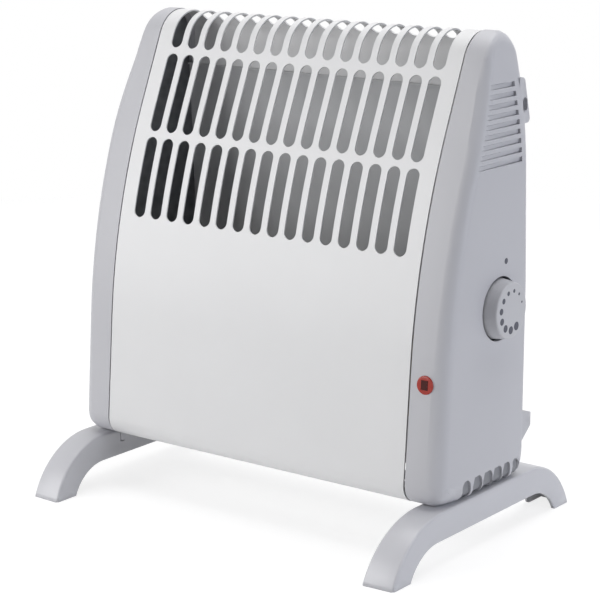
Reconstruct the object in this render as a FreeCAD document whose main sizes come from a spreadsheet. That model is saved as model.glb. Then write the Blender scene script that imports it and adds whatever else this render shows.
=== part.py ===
import FreeCAD, Part
import math
import os
import re
import Sketcher

# Small free-standing convector heater: slotted steel casing, moulded end caps, arched feet.
# Millimetres. X runs along the width with the control knob on +X, the front faces -Y, Z is up.
# The origin is on the floor, midway between the four foot tips.

doc = FreeCAD.newDocument("convector_heater")

# Driving dimensions
SIZES = {
    # side outline of the casing, seen along X, at the outer face of the end caps
    "body_bottom": 30.0,
    "body_top": 263.0,
    "rear_plane": 39.5,
    "waist_y": -41.2,
    "waist_z": 97.0,
    "lean_low": 4.4,
    "lean_high": 23.4,
    "lean_rear": 2.5,
    "waist_radius": 368.0,
    "crown_front_radius": 19.4,
    "crown_rear_radius": 12.8,
    "knee_radius": 410.0,
    "rear_bottom_radius": 12.6,
    "front_bottom_radius": 10.8,
    # moulded end caps
    "seam_x": 100.2,
    "cap_depth": 20.3,
    "cap_wall": 3.2,
    "cap_edge_radius": 8.5,
    "shoulder_z": 195.0,
    "shoulder_radius": 348.0,
    "lip_thickness": 1.1,
    "lip_depth": 4.2,
    "groove_count": 9,
    "groove_first_z": 197.4,
    "groove_pitch": 4.78,
    "groove_height": 2.3,
    "groove_depth": 1.2,
    "groove_front_low": -16.2,
    "groove_front_high": -0.7,
    "groove_rear_low": 27.0,
    "groove_rear_high": 23.6,
    "vent_count": 6,
    "vent_first_y": -20.0,
    "vent_pitch": 9.58,
    "vent_width": 6.2,
    "vent_top": 40.0,
    "vent_depth": 7.2,
    "ear_inset": 2.2,
    "ear_thickness": 3.0,
    "ear_root_y": 28.0,
    "ear_top_y": 33.3,
    "ear_low_y": 38.3,
    "ear_top_z": 239.2,
    "ear_low_z": 215.8,
    "ear_corner": 2.5,
    "ear_hole_y": 33.2,
    "ear_hole_z": 224.5,
    "ear_hole_radius": 2.1,
    "spacer_inset": 1.5,
    "spacer_thickness": 4.5,
    "spacer_root": 5.5,
    "spacer_reach": 5.4,
    "spacer_top_z": 63.6,
    "spacer_slope": 2.8,
    "spacer_height": 7.0,
    "spacer_drop": 6.5,
    # steel sheets
    "sheet_gap": 0.1,
    "sheet_thickness": 0.8,
    "front_lip_y": -24.0,
    "rear_lip_y": 16.0,
    "split_y": 15.0,
    "joint_z": 231.2,
    "joint_edge_y": 31.0,
    "slot_count": 16,
    "slot_pitch": 11.5,
    "slot_width": 7.7,
    "low_row_bottom": 153.5,
    "low_row_top": 196.3,
    "mid_row_bottom": 199.3,
    "mid_row_top": 240.4,
    "top_row_front": 243.6,
    "top_row_rear": 254.0,
    "plate_gap": 0.3,
    "plate_flange": 13.0,
    "grille_gap": 0.4,
    "grille_front_y": -33.5,
    "grille_rear_y": 26.0,
    "grille_slot_count": 12,
    "grille_slot_pitch": 15.5,
    "grille_slot_width": 8.0,
    "grille_slot_length": 34.0,
    # feet
    "foot_outer_x": 121.0,
    "foot_width": 16.7,
    "foot_half_length": 86.2,
    "foot_outer_radius": 45.0,
    "foot_arch_height": 14.8,
    "foot_arch_radius": 27.0,
    "foot_tip": 15.3,
    "foot_wall": 2.2,
    "foot_edge": 1.3,
    # control knob and thermostat
    "knob_y": 9.0,
    "knob_z": 123.9,
    "knob_gap": 0.6,
    "knob_base_radius": 16.2,
    "knob_face_radius": 14.4,
    "knob_rim": 0.7,
    "knob_height": 7.0,
    "knob_sink": 2.6,
    "hub_end_wall": 2.6,
    "hub_fit": 0.02,
    "spindle_radius": 3.0,
    "spindle_fit": 0.05,
    "spindle_flat": 2.3,
    "spindle_end_gap": 0.4,
    "thermostat_depth": 8.6,
    "thermostat_width": 30.0,
    "thermostat_height": 24.0,
    "bush_radius": 4.6,
    "bush_length": 3.2,
    "bore_depth": 7.4,
    # pilot light
    "lens_x": 109.0,
    "lens_z": 93.0,
    "lens_flange_radius": 4.8,
    "lens_flange": 1.1,
    "lens_bevel": 0.6,
    "lens_stem_radius": 4.1,
    "lens_gap": 0.1,
    "lens_length": 5.0,
    "lamp_radius": 2.9,
    "lamp_length": 11.0,
    # mains inlet
    "cord_x": 109.4,
    "cord_z": 78.0,
    "cord_bore_radius": 2.9,
    "cord_stem_radius": 4.0,
    "cord_gap": 0.05,
    "cord_flange_radius": 5.0,
    "cord_flange": 2.0,
    "cord_stem_length": 7.0,
    "terminal_y": 4.0,
    "terminal_z": 58.0,
    "terminal_depth": 10.5,
    "terminal_height": 15.0,
    "terminal_ways": 3,
    "terminal_pitch": 8.0,
    "terminal_hole": 4.2,
    "terminal_well_depth": 4.0,
    # thermal cut-out
    "cutout_y": 4.0,
    "cutout_z": 160.0,
    "cutout_length": 16.0,
    "cutout_width": 10.0,
    "cutout_height": 7.0,
    "cutout_flange_length": 30.0,
    "cutout_flange_width": 8.0,
    "cutout_flange": 1.0,
    # heating element
    "element_y": -4.0,
    "element_z": 62.0,
    "element_height": 44.0,
    "element_length": 196.0,
    "board_thickness": 1.0,
    "ribbon_turns": 11,
    "ribbon_pitch": 15.5,
    "ribbon_width": 3.0,
    "ribbon_thickness": 0.4,
    "bracket_z": 76.0,
    "bracket_height": 16.0,
    "bracket_sheet": 1.0,
    "bracket_half_width": 10.0,
    "bracket_grip": 12.0,
}

sheet = doc.addObject("Spreadsheet::Sheet", "Sizes")
for row, (alias, number) in enumerate(SIZES.items(), start=1):
    sheet.set(f"A{row}", alias)
    sheet.set(f"B{row}", str(number))
    sheet.setAlias(f"B{row}", alias)
doc.recompute()


def link(text):
    """Expression text with every named size tied to its cell."""
    def cell(word):
        return f"Sizes.{word[0]}" if word[0] in SIZES else word[0]

    return re.sub(r"[a-z][a-z_0-9]*", cell, str(text))


def size(text):
    """Number that an expression of named sizes has now."""
    return float(sheet.evalExpression(link(text)))


def tie(thing, path, text):
    """Ties a property or a sketch dimension to named sizes."""
    thing.setExpression(path, link(text))


# Document helpers

def new_body(label):
    body = doc.addObject("PartDesign::Body", label)
    body.Label = label
    return body


def new_sketch(body, name, role, offset="0"):
    """Sketch on one of the body's own planes, moved along that plane's normal."""
    plane = next(item for item in body.Origin.OriginFeatures if item.Role == role)
    sketch = body.newObject("Sketcher::SketchObject", name)
    sketch.AttachmentSupport = [(plane, "")]
    sketch.MapMode = "FlatFace"
    tie(sketch, "AttachmentOffset.Base.z", offset)
    doc.recompute()
    return sketch


def dimension(sketch, text, kind, *place):
    number = size(text)
    if kind == "Angle":
        number = math.radians(number)
        text = f"({text}) * 1 deg"
    index = sketch.addConstraint(Sketcher.Constraint(kind, *place, number))
    tie(sketch, f"Constraints[{index}]", text)


def pin(sketch, geometry, point, across, up):
    """Places one point of a sketch from its origin."""
    dimension(sketch, across, "DistanceX", -1, 1, geometry, point)
    dimension(sketch, up, "DistanceY", -1, 1, geometry, point)


def polygon(sketch, corners):
    """Closed straight-sided outline whose corners are pairs of expressions."""
    spots = [FreeCAD.Vector(size(across), size(up), 0) for across, up in corners]
    lines = []
    for start, end in zip(spots, spots[1:] + spots[:1]):
        lines.append(sketch.addGeometry(Part.LineSegment(start, end)))
    for line, follower in zip(lines, lines[1:] + lines[:1]):
        sketch.addConstraint(Sketcher.Constraint("Coincident", line, 2, follower, 1))
    for line, (across, up) in zip(lines, corners):
        pin(sketch, line, 1, across, up)


def circle(sketch, across, up, radius):
    centre = FreeCAD.Vector(size(across), size(up), 0)
    ring = sketch.addGeometry(Part.Circle(centre, FreeCAD.Vector(0, 0, 1), size(radius)))
    pin(sketch, ring, 3, across, up)
    dimension(sketch, radius, "Radius", ring)


def arc(centre, radius, start, end):
    """Arc by its centre, radius and two angles in degrees."""
    base = Part.Circle(FreeCAD.Vector(centre[0], centre[1], 0), FreeCAD.Vector(0, 0, 1), radius)
    return Part.ArcOfCircle(base, math.radians(start), math.radians(end))


def segment(start, end):
    return Part.LineSegment(FreeCAD.Vector(start[0], start[1], 0), FreeCAD.Vector(end[0], end[1], 0))


def slot(sketch, across, low, high, width):
    """Upright slot between two heights, its ends eased by bevelled corners."""
    half = f"({width}) / 2"
    inner = f"({width}) / 2 * tan(22.5 deg)"
    corner = f"({width}) / 2 * (1 - tan(22.5 deg))"
    polygon(sketch, (
        (f"{across} - {inner}", low),
        (f"{across} + {inner}", low),
        (f"{across} + {half}", f"{low} + {corner}"),
        (f"{across} + {half}", f"{high} - {corner}"),
        (f"{across} + {inner}", high),
        (f"{across} - {inner}", high),
        (f"{across} - {half}", f"{high} - {corner}"),
        (f"{across} - {half}", f"{low} + {corner}"),
    ))


def pad(body, sketch, length, reverse=False, both=False):
    feature = body.newObject("PartDesign::Pad", sketch.Name + "_pad")
    feature.Profile = sketch
    tie(feature, "Length", length)
    feature.Reversed = reverse
    feature.Midplane = both
    doc.recompute()
    return feature


def pocket(body, sketch, length=None, reverse=False, both=False):
    """Cut of a given depth, or through everything; stops if it takes nothing away."""
    before = body.Shape.Volume
    feature = body.newObject("PartDesign::Pocket", sketch.Name + "_cut")
    feature.Profile = sketch
    feature.Reversed = reverse
    feature.Midplane = both
    if length is None:
        feature.Type = "ThroughAll"
    else:
        tie(feature, "Length", length)
    doc.recompute()
    if body.Shape.Volume >= before:
        raise ValueError(feature.Label + " cuts nothing")
    return feature


def repeat(body, features, sketch, axis, pitch, count):
    pattern = body.newObject("PartDesign::LinearPattern", sketch.Name + "_row")
    pattern.Originals = features
    pattern.Direction = (sketch, [axis])
    tie(pattern, "Length", f"({pitch}) * ({count} - 1)")
    tie(pattern, "Occurrences", count)
    body.Tip = pattern
    doc.recompute()
    return pattern


def edges_where(shape, keep):
    return [f"Edge{number}" for number, edge in enumerate(shape.Edges, start=1) if keep(edge)]


def fillet(body, base, edges, radius):
    feature = body.newObject("PartDesign::Fillet", base.Name + "_round")
    feature.Base = (base, edges)
    tie(feature, "Radius", radius)
    doc.recompute()
    return feature


def bevel(body, base, edges, width):
    feature = body.newObject("PartDesign::Chamfer", base.Name + "_bevel")
    feature.Base = (base, edges)
    tie(feature, "Size", width)
    doc.recompute()
    return feature


TURN = {
    "+X": FreeCAD.Rotation(FreeCAD.Vector(0, 1, 0), 90),
    "+Y": FreeCAD.Rotation(FreeCAD.Vector(1, 0, 0), -90),
    "+Z": FreeCAD.Rotation(),
}


def place(thing, x, y, z):
    for letter, text in zip("xyz", (x, y, z)):
        tie(thing, f"Placement.Base.{letter}", text)


def cylinder(label, radius, length, x, y, z, axis):
    """Cylinder from its base centre, along one axis."""
    solid = doc.addObject("Part::Cylinder", label)
    tie(solid, "Radius", radius)
    tie(solid, "Height", length)
    solid.Placement = FreeCAD.Placement(FreeCAD.Vector(), TURN[axis])
    place(solid, x, y, z)
    return solid


def box(label, length, width, height, x, y, z):
    """Block from its lowest corner."""
    solid = doc.addObject("Part::Box", label)
    tie(solid, "Length", length)
    tie(solid, "Width", width)
    tie(solid, "Height", height)
    place(solid, x, y, z)
    return solid


def fuse(label, solids):
    joined = doc.addObject("Part::MultiFuse", label)
    joined.Shapes = solids
    joined.Label = label
    return joined


def cut(label, base, tool):
    rest = doc.addObject("Part::Cut", label)
    rest.Base = base
    rest.Tool = tool
    rest.Label = label
    return rest


def common(label, base, tool):
    shared = doc.addObject("Part::Common", label)
    shared.Base = base
    shared.Tool = tool
    shared.Label = label
    return shared


def mirrored(label, source):
    """The same piece for the other end of the heater."""
    twin = doc.addObject("Part::Mirroring", label)
    twin.Source = source
    twin.Normal = FreeCAD.Vector(1, 0, 0)
    twin.Label = label
    return twin


def outline(sketch, inset):
    """Side outline of the casing, set in from the caps' outer face: five straights, six tangent arcs."""
    depth = size(inset)
    low = math.radians(size("lean_low"))
    high = math.radians(size("lean_high"))
    rear = math.radians(size("lean_rear"))
    waist_end = (size("waist_y") + depth * math.cos(low), size("waist_z") - depth * math.sin(low))
    waist_radius = size("waist_radius") - depth
    waist_centre = (waist_end[0] + waist_radius * math.cos(low), waist_end[1] - waist_radius * math.sin(low))
    waist_start = (
        waist_centre[0] - waist_radius * math.cos(high),
        waist_centre[1] + waist_radius * math.sin(high),
    )
    front_radius = size("crown_front_radius") - depth
    crown_z = size("body_top") - size("crown_front_radius")
    climb = (crown_z - waist_start[1] + front_radius * math.sin(high)) / math.cos(high)
    crown_y = waist_start[0] + front_radius * math.cos(high) + climb * math.sin(high)
    crown_start = (crown_y - front_radius * math.cos(high), crown_z + front_radius * math.sin(high))
    rear_radius = size("crown_rear_radius") - depth
    rear_crown_z = size("body_top") - size("crown_rear_radius")
    rear_top = (crown_y + rear_radius * math.cos(rear), rear_crown_z + rear_radius * math.sin(rear))
    knee_radius = size("knee_radius") - depth
    knee_y = size("rear_plane") - size("knee_radius")
    fall = (knee_y - rear_top[0] + knee_radius * math.cos(rear)) / math.sin(rear)
    knee_z = rear_top[1] - knee_radius * math.sin(rear) - fall * math.cos(rear)
    knee_top = (knee_y + knee_radius * math.cos(rear), knee_z + knee_radius * math.sin(rear))
    back_y = size("rear_plane") - depth
    floor_z = size("body_bottom") + depth
    rear_corner = (size("rear_plane - rear_bottom_radius"), size("body_bottom + rear_bottom_radius"))
    rear_corner_radius = size("rear_bottom_radius") - depth
    front_corner_z = size("body_bottom + front_bottom_radius")
    front_corner_radius = size("front_bottom_radius") - depth
    front_slope = (front_corner_z - waist_end[1]) * math.tan(low)
    front_corner_y = waist_end[0] + front_slope + front_corner_radius / math.cos(low)
    front_corner = (front_corner_y, front_corner_z)
    front_low = (
        front_corner_y - front_corner_radius * math.cos(low),
        front_corner_z + front_corner_radius * math.sin(low),
    )
    bottom = sketch.addGeometry(segment((front_corner_y, floor_z), (rear_corner[0], floor_z)))
    heel = sketch.addGeometry(arc(rear_corner, rear_corner_radius, 270, 360))
    back = sketch.addGeometry(segment((back_y, rear_corner[1]), (back_y, knee_z)))
    knee = sketch.addGeometry(arc((knee_y, knee_z), knee_radius, 0, math.degrees(rear)))
    upper_back = sketch.addGeometry(segment(knee_top, rear_top))
    rear_crown = sketch.addGeometry(arc((crown_y, rear_crown_z), rear_radius, math.degrees(rear), 90))
    front_crown = sketch.addGeometry(arc((crown_y, crown_z), front_radius, 90, 180 - math.degrees(high)))
    upper_front = sketch.addGeometry(segment(crown_start, waist_start))
    waist_top = 180 - math.degrees(high)
    waist = sketch.addGeometry(arc(waist_centre, waist_radius, waist_top, 180 - math.degrees(low)))
    lower_front = sketch.addGeometry(segment(waist_end, front_low))
    toe = sketch.addGeometry(arc(front_corner, front_corner_radius, 180 - math.degrees(low), 270))
    chain = [bottom, heel, back, knee, upper_back, rear_crown]
    chain += [front_crown, upper_front, waist, lower_front, toe]
    for piece, follower in zip(chain, chain[1:] + chain[:1]):
        sketch.addConstraint(Sketcher.Constraint("Tangent", piece, 2, follower, 1))
    sketch.addConstraint(Sketcher.Constraint("Horizontal", bottom))
    sketch.addConstraint(Sketcher.Constraint("Vertical", back))
    sketch.addConstraint(Sketcher.Constraint("Vertical", rear_crown, 3, front_crown, 3))
    dimension(sketch, f"body_bottom + {inset}", "DistanceY", -1, 1, bottom, 1)
    dimension(sketch, f"rear_plane - ({inset})", "DistanceX", -1, 1, back, 1)
    dimension(sketch, f"body_top - ({inset})", "DistanceY", -1, 1, front_crown, 1)
    pin(
        sketch, waist, 2,
        f"waist_y + ({inset}) * cos(lean_low * 1 deg)",
        f"waist_z - ({inset}) * sin(lean_low * 1 deg)",
    )
    dimension(sketch, "90 + lean_rear", "Angle", upper_back)
    dimension(sketch, "-90 - lean_high", "Angle", upper_front)
    dimension(sketch, "-90 - lean_low", "Angle", lower_front)
    rounds = {
        heel: "rear_bottom_radius",
        knee: "knee_radius",
        rear_crown: "crown_rear_radius",
        front_crown: "crown_front_radius",
        waist: "waist_radius",
        toe: "front_bottom_radius",
    }
    for piece, radius in rounds.items():
        dimension(sketch, f"{radius} - ({inset})", "Radius", piece)


CAP_FACE = "(seam_x + cap_depth)"
SHEET_OUTER = "(lip_thickness + sheet_gap)"
SHEET_INNER = "(lip_thickness + sheet_gap + sheet_thickness)"
PLATE_FACE = "(seam_x + lip_depth)"
PLATE_BACK = "(seam_x + lip_depth - sheet_thickness)"
BEYOND = "10"


# Moulded end cap: one form for both ends, dished, with a thin lip that overlaps the sheets' edge

def shoulder_cut(sketch, inset):
    """Region outside the side face, which leans in along an arc towards the top."""
    face = size(f"{CAP_FACE} - ({inset})")
    radius = size(f"shoulder_radius - ({inset})")
    low = size("shoulder_z")
    high = size(f"body_top + {BEYOND}")
    sweep = math.degrees(math.asin((high - low) / radius))
    end = (face - radius + radius * math.cos(math.radians(sweep)), high)
    outside = size(f"{CAP_FACE} + {BEYOND}")
    curve = sketch.addGeometry(arc((face - radius, low), radius, 0, sweep))
    top = sketch.addGeometry(segment(end, (outside, high)))
    side = sketch.addGeometry(segment((outside, high), (outside, low)))
    base = sketch.addGeometry(segment((outside, low), (face, low)))
    for piece, follower in ((curve, top), (top, side), (side, base), (base, curve)):
        sketch.addConstraint(Sketcher.Constraint("Coincident", piece, 2, follower, 1))
    sketch.addConstraint(Sketcher.Constraint("Horizontal", top))
    sketch.addConstraint(Sketcher.Constraint("Vertical", side))
    sketch.addConstraint(Sketcher.Constraint("Horizontal", base))
    pin(sketch, curve, 3, f"{CAP_FACE} - shoulder_radius", "shoulder_z")
    dimension(sketch, f"shoulder_radius - ({inset})", "Radius", curve)
    pin(sketch, side, 1, f"{CAP_FACE} + {BEYOND}", f"body_top + {BEYOND}")
    dimension(sketch, "shoulder_z", "DistanceY", -1, 1, base, 1)


def border_edges(shape, least, most):
    """Edges round the faces of a cap that look along X by an amount between two limits."""
    facing = []
    for face in shape.Faces:
        across, along = face.Surface.parameter(face.CenterOfMass)
        if least < face.normalAt(across, along).x < most:
            facing.append(face)

    def on_border(edge):
        return sum(any(edge.isSame(other) for other in face.Edges) for face in facing) == 1

    return edges_where(shape, on_border)


def cap_solid(label, inset, rounding):
    """Solid end form, one wall smaller for the hollow than for the outside."""
    body = new_body(label)
    profile = new_sketch(body, label + "_outline", "YZ_Plane", "seam_x")
    outline(profile, inset)
    pad(body, profile, f"cap_depth - ({inset})")
    shoulder = new_sketch(body, label + "_shoulder", "XZ_Plane")
    shoulder_cut(shoulder, inset)
    shaped = pocket(body, shoulder, both=True)
    if rounding:
        first = bevel(body, shaped, border_edges(shaped.Shape, 0.9, 1.1), f"{rounding} * (2 - sqrt(2))")
        eighth = f"({rounding} * (tan(22.5 deg) - tan(11.25 deg)))"
        bevel(body, first, border_edges(first.Shape, 0.5, 0.9), eighth)
    return body


def cap_form():
    body = cap_solid("cap_outside", "0", "cap_edge_radius")
    lip = new_sketch(body, "cap_lip", "YZ_Plane", "seam_x")
    outline(lip, "lip_thickness")
    pocket(body, lip, "lip_depth", reverse=True)
    cap_rear_lugs(body)
    cap_grooves(body)
    cap_vents(body)
    return cut("cap_form", body, cap_solid("cap_hollow", "cap_wall", None))


def cap_rear_lugs(body):
    """Wall ear with a screw hole, high on the rear, and a spacer fin low on the rear."""
    ear = new_sketch(body, "wall_ear", "YZ_Plane", f"{CAP_FACE} - ear_inset")
    corners = (
        ("ear_root_y", "ear_low_z"),
        ("ear_low_y", "ear_low_z"),
        ("ear_top_y", "ear_top_z"),
        ("ear_root_y", "ear_top_z"),
    )
    polygon(ear, corners)
    plate = pad(body, ear, "ear_thickness", reverse=True)
    tips = [(size(across), size(up)) for across, up in corners[1:3]]

    def at_tip(edge):
        middle = edge.CenterOfMass
        spot = any(math.hypot(middle.y - tip[0], middle.z - tip[1]) < 0.01 for tip in tips)
        return spot and edge.BoundBox.XLength > size("ear_thickness") / 2

    fillet(body, plate, edges_where(plate.Shape, at_tip), "ear_corner")
    hole = new_sketch(body, "wall_ear_hole", "YZ_Plane", f"{CAP_FACE} - ear_inset - ear_thickness")
    circle(hole, "ear_hole_y", "ear_hole_z", "ear_hole_radius")
    pocket(body, hole, "ear_thickness * 2", reverse=True)
    fin = new_sketch(body, "rear_spacer", "YZ_Plane", f"{CAP_FACE} - spacer_inset")
    polygon(fin, (
        ("rear_plane - spacer_root", "spacer_top_z - spacer_slope - spacer_height - spacer_drop"),
        ("rear_plane - spacer_root / 2", "spacer_top_z - spacer_slope - spacer_height - spacer_drop"),
        ("rear_plane + spacer_reach", "spacer_top_z - spacer_slope - spacer_height"),
        ("rear_plane + spacer_reach", "spacer_top_z - spacer_slope"),
        ("rear_plane - spacer_root", "spacer_top_z"),
    ))
    pad(body, fin, "spacer_thickness", reverse=True)


def cap_grooves(body):
    """Ramped finger grooves high on the side: flush in front, deepest at the rear, each a little shorter."""
    for number in range(int(size("groove_count"))):
        share = f"{number} / (groove_count - 1)"
        low = f"groove_first_z + {number} * groove_pitch"
        lean = f"sqrt(shoulder_radius^2 - ({low} + groove_height / 2 - shoulder_z)^2)"
        face = f"({CAP_FACE} - shoulder_radius + {lean})"
        front = f"groove_front_low + (groove_front_high - groove_front_low) * {share}"
        rear = f"groove_rear_low + (groove_rear_high - groove_rear_low) * {share}"
        ramp = new_sketch(body, f"groove_{number}", "XY_Plane", low)
        polygon(ramp, (
            (face, front),
            (f"{face} + groove_depth", front),
            (f"{face} + groove_depth", rear),
            (f"{face} - groove_depth", rear),
        ))
        pocket(body, ramp, "groove_height", reverse=True)


def cap_vents(body):
    """Row of round-topped air slots through the bottom edge."""
    vent = new_sketch(body, "vent", "YZ_Plane", f"{CAP_FACE} - vent_depth")
    slot(vent, "vent_first_y", f"body_bottom - {BEYOND}", "vent_top", "vent_width")
    opening = pocket(body, vent, f"vent_depth + {BEYOND}", reverse=True)
    repeat(body, [opening], vent, "H_Axis", "vent_pitch", "vent_count")


cap = cap_form()
left_end_cap = mirrored("left_end_cap", cap)

knob_hole = cylinder(
    "knob_hole", "knob_base_radius + knob_gap", f"cap_wall + {BEYOND}",
    f"{CAP_FACE} - cap_wall * 2", "knob_y", "knob_z", "+X",
)
LENS_Y = "(waist_y + (lens_z - waist_z) * tan(lean_low * 1 deg))"
lens_hole = cylinder("lens_hole", "lens_stem_radius + lens_gap", f"cap_wall + {BEYOND}", "0", "0", "0", "+Z")


def face_front(thing):
    """Sets a piece square on the cap's leaning front band, its own Z pointing outwards."""
    thing.Placement = FreeCAD.Placement(FreeCAD.Vector(), FreeCAD.Rotation(FreeCAD.Vector(1, 0, 0), 90))
    place(thing, "lens_x", LENS_Y, "lens_z")
    tie(thing, "Placement.Rotation.Angle", "(90 - lean_low) * 1 deg")


face_front(lens_hole)
tie(lens_hole, "Placement.Base.y", f"{LENS_Y} + cap_wall * 2 * cos(lean_low * 1 deg)")
tie(lens_hole, "Placement.Base.z", "lens_z - cap_wall * 2 * sin(lean_low * 1 deg)")
cord_hole = cylinder(
    "cord_hole", "cord_stem_radius + cord_gap", f"cap_wall + {BEYOND}",
    "cord_x", "rear_plane - cap_wall * 2", "cord_z", "+Y",
)
control_holes = fuse("control_holes", [knob_hole, lens_hole, cord_hole])
right_end_cap = cut("right_end_cap", cap, control_holes)


# Casing sheets: one slotted sheet over front and top, one panel at the rear, folded to meet on a ledge

def sheet_ring(label):
    """Closed ring of casing sheet between the two caps, before it is cut back."""
    body = new_body(label)
    ring = new_sketch(body, label + "_ring", "YZ_Plane")
    outline(ring, SHEET_OUTER)
    outline(ring, SHEET_INNER)
    pad(body, ring, f"2 * {PLATE_FACE}", both=True)
    return body


def front_form():
    body = sheet_ring("front_form")
    rear = new_sketch(body, "front_cut_back", "YZ_Plane")
    polygon(rear, (
        ("front_lip_y", f"body_bottom - {BEYOND}"),
        (f"rear_plane + {BEYOND}", f"body_bottom - {BEYOND}"),
        (f"rear_plane + {BEYOND}", "joint_z"),
        ("split_y", "joint_z"),
        ("front_lip_y", f"body_bottom + {BEYOND}"),
    ))
    pocket(body, rear, both=True)
    first = "-slot_pitch * (slot_count - 1) / 2"
    over = f"body_top + {BEYOND}"
    rows = (
        ("low_row", "low_row_bottom", "low_row_top", True),
        ("mid_row", "mid_row_bottom", "mid_row_top", True),
        ("top_row", "top_row_front", over, True),
        ("top_row_back", "top_row_rear", over, False),
    )
    openings = []
    for name, low, high, forward in rows:
        sketch = new_sketch(body, name, "XZ_Plane", "-split_y")
        slot(sketch, first, low, high, "slot_width")
        openings.append(pocket(body, sketch, reverse=forward))
    repeat(body, openings, sketch, "H_Axis", "slot_pitch", "slot_count")
    return body


def back_form():
    body = sheet_ring("back_form")
    front = new_sketch(body, "back_cut_back", "YZ_Plane")
    polygon(front, (
        ("rear_lip_y", f"body_bottom - {BEYOND}"),
        ("rear_lip_y", f"body_bottom + {BEYOND}"),
        ("split_y", "joint_z"),
        (f"rear_plane + {BEYOND}", "joint_z"),
        (f"rear_plane + {BEYOND}", f"body_top + {BEYOND}"),
        (f"waist_y - 2 * {BEYOND}", f"body_top + {BEYOND}"),
        (f"waist_y - 2 * {BEYOND}", f"body_bottom - {BEYOND}"),
    ))
    pocket(body, front, both=True)
    return body


def flange(label, low):
    """Folded ledge along the joint, up to the middle of the sheet's thickness."""
    half = f"({PLATE_BACK} - grille_gap)"
    slab = box(
        label + "_slab", f"2 * {half}", f"rear_plane + {BEYOND} - joint_edge_y", "sheet_thickness",
        f"-{half}", "joint_edge_y", low,
    )
    return common(label, slab, envelope)


envelope = new_body("sheet_envelope")
envelope_outline = new_sketch(envelope, "envelope_outline", "YZ_Plane")
outline(envelope_outline, "(lip_thickness + sheet_gap + sheet_thickness / 2)")
pad(envelope, envelope_outline, f"2 * {PLATE_FACE}", both=True)

front_sheet = fuse("front_sheet", [front_form(), flange("front_flange", "joint_z")])
back_panel = fuse("back_panel", [back_form(), flange("back_flange", "joint_z - sheet_thickness")])


# Air inlet grille lying on the two bottom lips

GRILLE_Z = f"(body_bottom + {SHEET_INNER})"
base_grille = new_body("base_grille")
grille_plan = new_sketch(base_grille, "grille_plan", "XY_Plane", GRILLE_Z)
grille_half = f"({PLATE_BACK} - grille_gap)"
polygon(grille_plan, (
    (f"-{grille_half}", "grille_front_y"),
    (grille_half, "grille_front_y"),
    (grille_half, "grille_rear_y"),
    (f"-{grille_half}", "grille_rear_y"),
))
pad(base_grille, grille_plan, "sheet_thickness")
grille_slot = new_sketch(base_grille, "grille_slot", "XY_Plane", GRILLE_Z)
slot(
    grille_slot, "-grille_slot_pitch * (grille_slot_count - 1) / 2",
    "(front_lip_y + rear_lip_y - grille_slot_length) / 2",
    "(front_lip_y + rear_lip_y + grille_slot_length) / 2",
    "grille_slot_width",
)
grille_opening = pocket(base_grille, grille_slot, "sheet_thickness", reverse=True)
repeat(base_grille, [grille_opening], grille_slot, "H_Axis", "grille_slot_pitch", "grille_slot_count")


# Side plates: closed ends of the air chamber, seated on the caps' inner shoulder and on the grille

right_side_plate = new_body("right_side_plate")
plate_outline = new_sketch(right_side_plate, "plate_outline", "YZ_Plane", PLATE_BACK)
outline(plate_outline, f"({SHEET_INNER} + plate_gap)")
pad(right_side_plate, plate_outline, "sheet_thickness")
tread = new_sketch(right_side_plate, "plate_tread", "XY_Plane", f"{GRILLE_Z} + sheet_thickness")
polygon(tread, (
    (f"{PLATE_BACK} - plate_flange", "grille_front_y"),
    (f"{PLATE_FACE} - sheet_thickness / 2", "grille_front_y"),
    (f"{PLATE_FACE} - sheet_thickness / 2", "grille_rear_y"),
    (f"{PLATE_BACK} - plate_flange", "grille_rear_y"),
))
pad(right_side_plate, tread, "sheet_thickness")
left_side_plate = mirrored("left_side_plate", right_side_plate)


# Feet: arched hollow mouldings, open underneath, screwed up into the caps

def foot_form():
    body = new_body("right_foot")
    profile = new_sketch(body, "foot_profile", "YZ_Plane", "foot_outer_x - foot_width")
    foot_outline(profile)
    blank = pad(body, profile, "foot_width")
    upper = size("body_bottom") - 1e-3
    edges = edges_where(blank.Shape, lambda edge: edge.BoundBox.XLength < 1e-6 and edge.BoundBox.ZMax > upper)
    bevel(body, blank, edges, "foot_edge")
    channel = new_sketch(body, "foot_channel", "YZ_Plane", "foot_outer_x - foot_width / 2")
    foot_hollow(channel)
    pocket(body, channel, "foot_width - 2 * foot_wall", both=True)
    return body


FOOT_CENTRE = "(foot_half_length - sqrt(foot_outer_radius^2 - (foot_outer_radius - body_bottom)^2))"
ARCH_SPAN = "sqrt(foot_arch_radius^2 - (foot_arch_radius - foot_arch_height)^2)"


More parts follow.
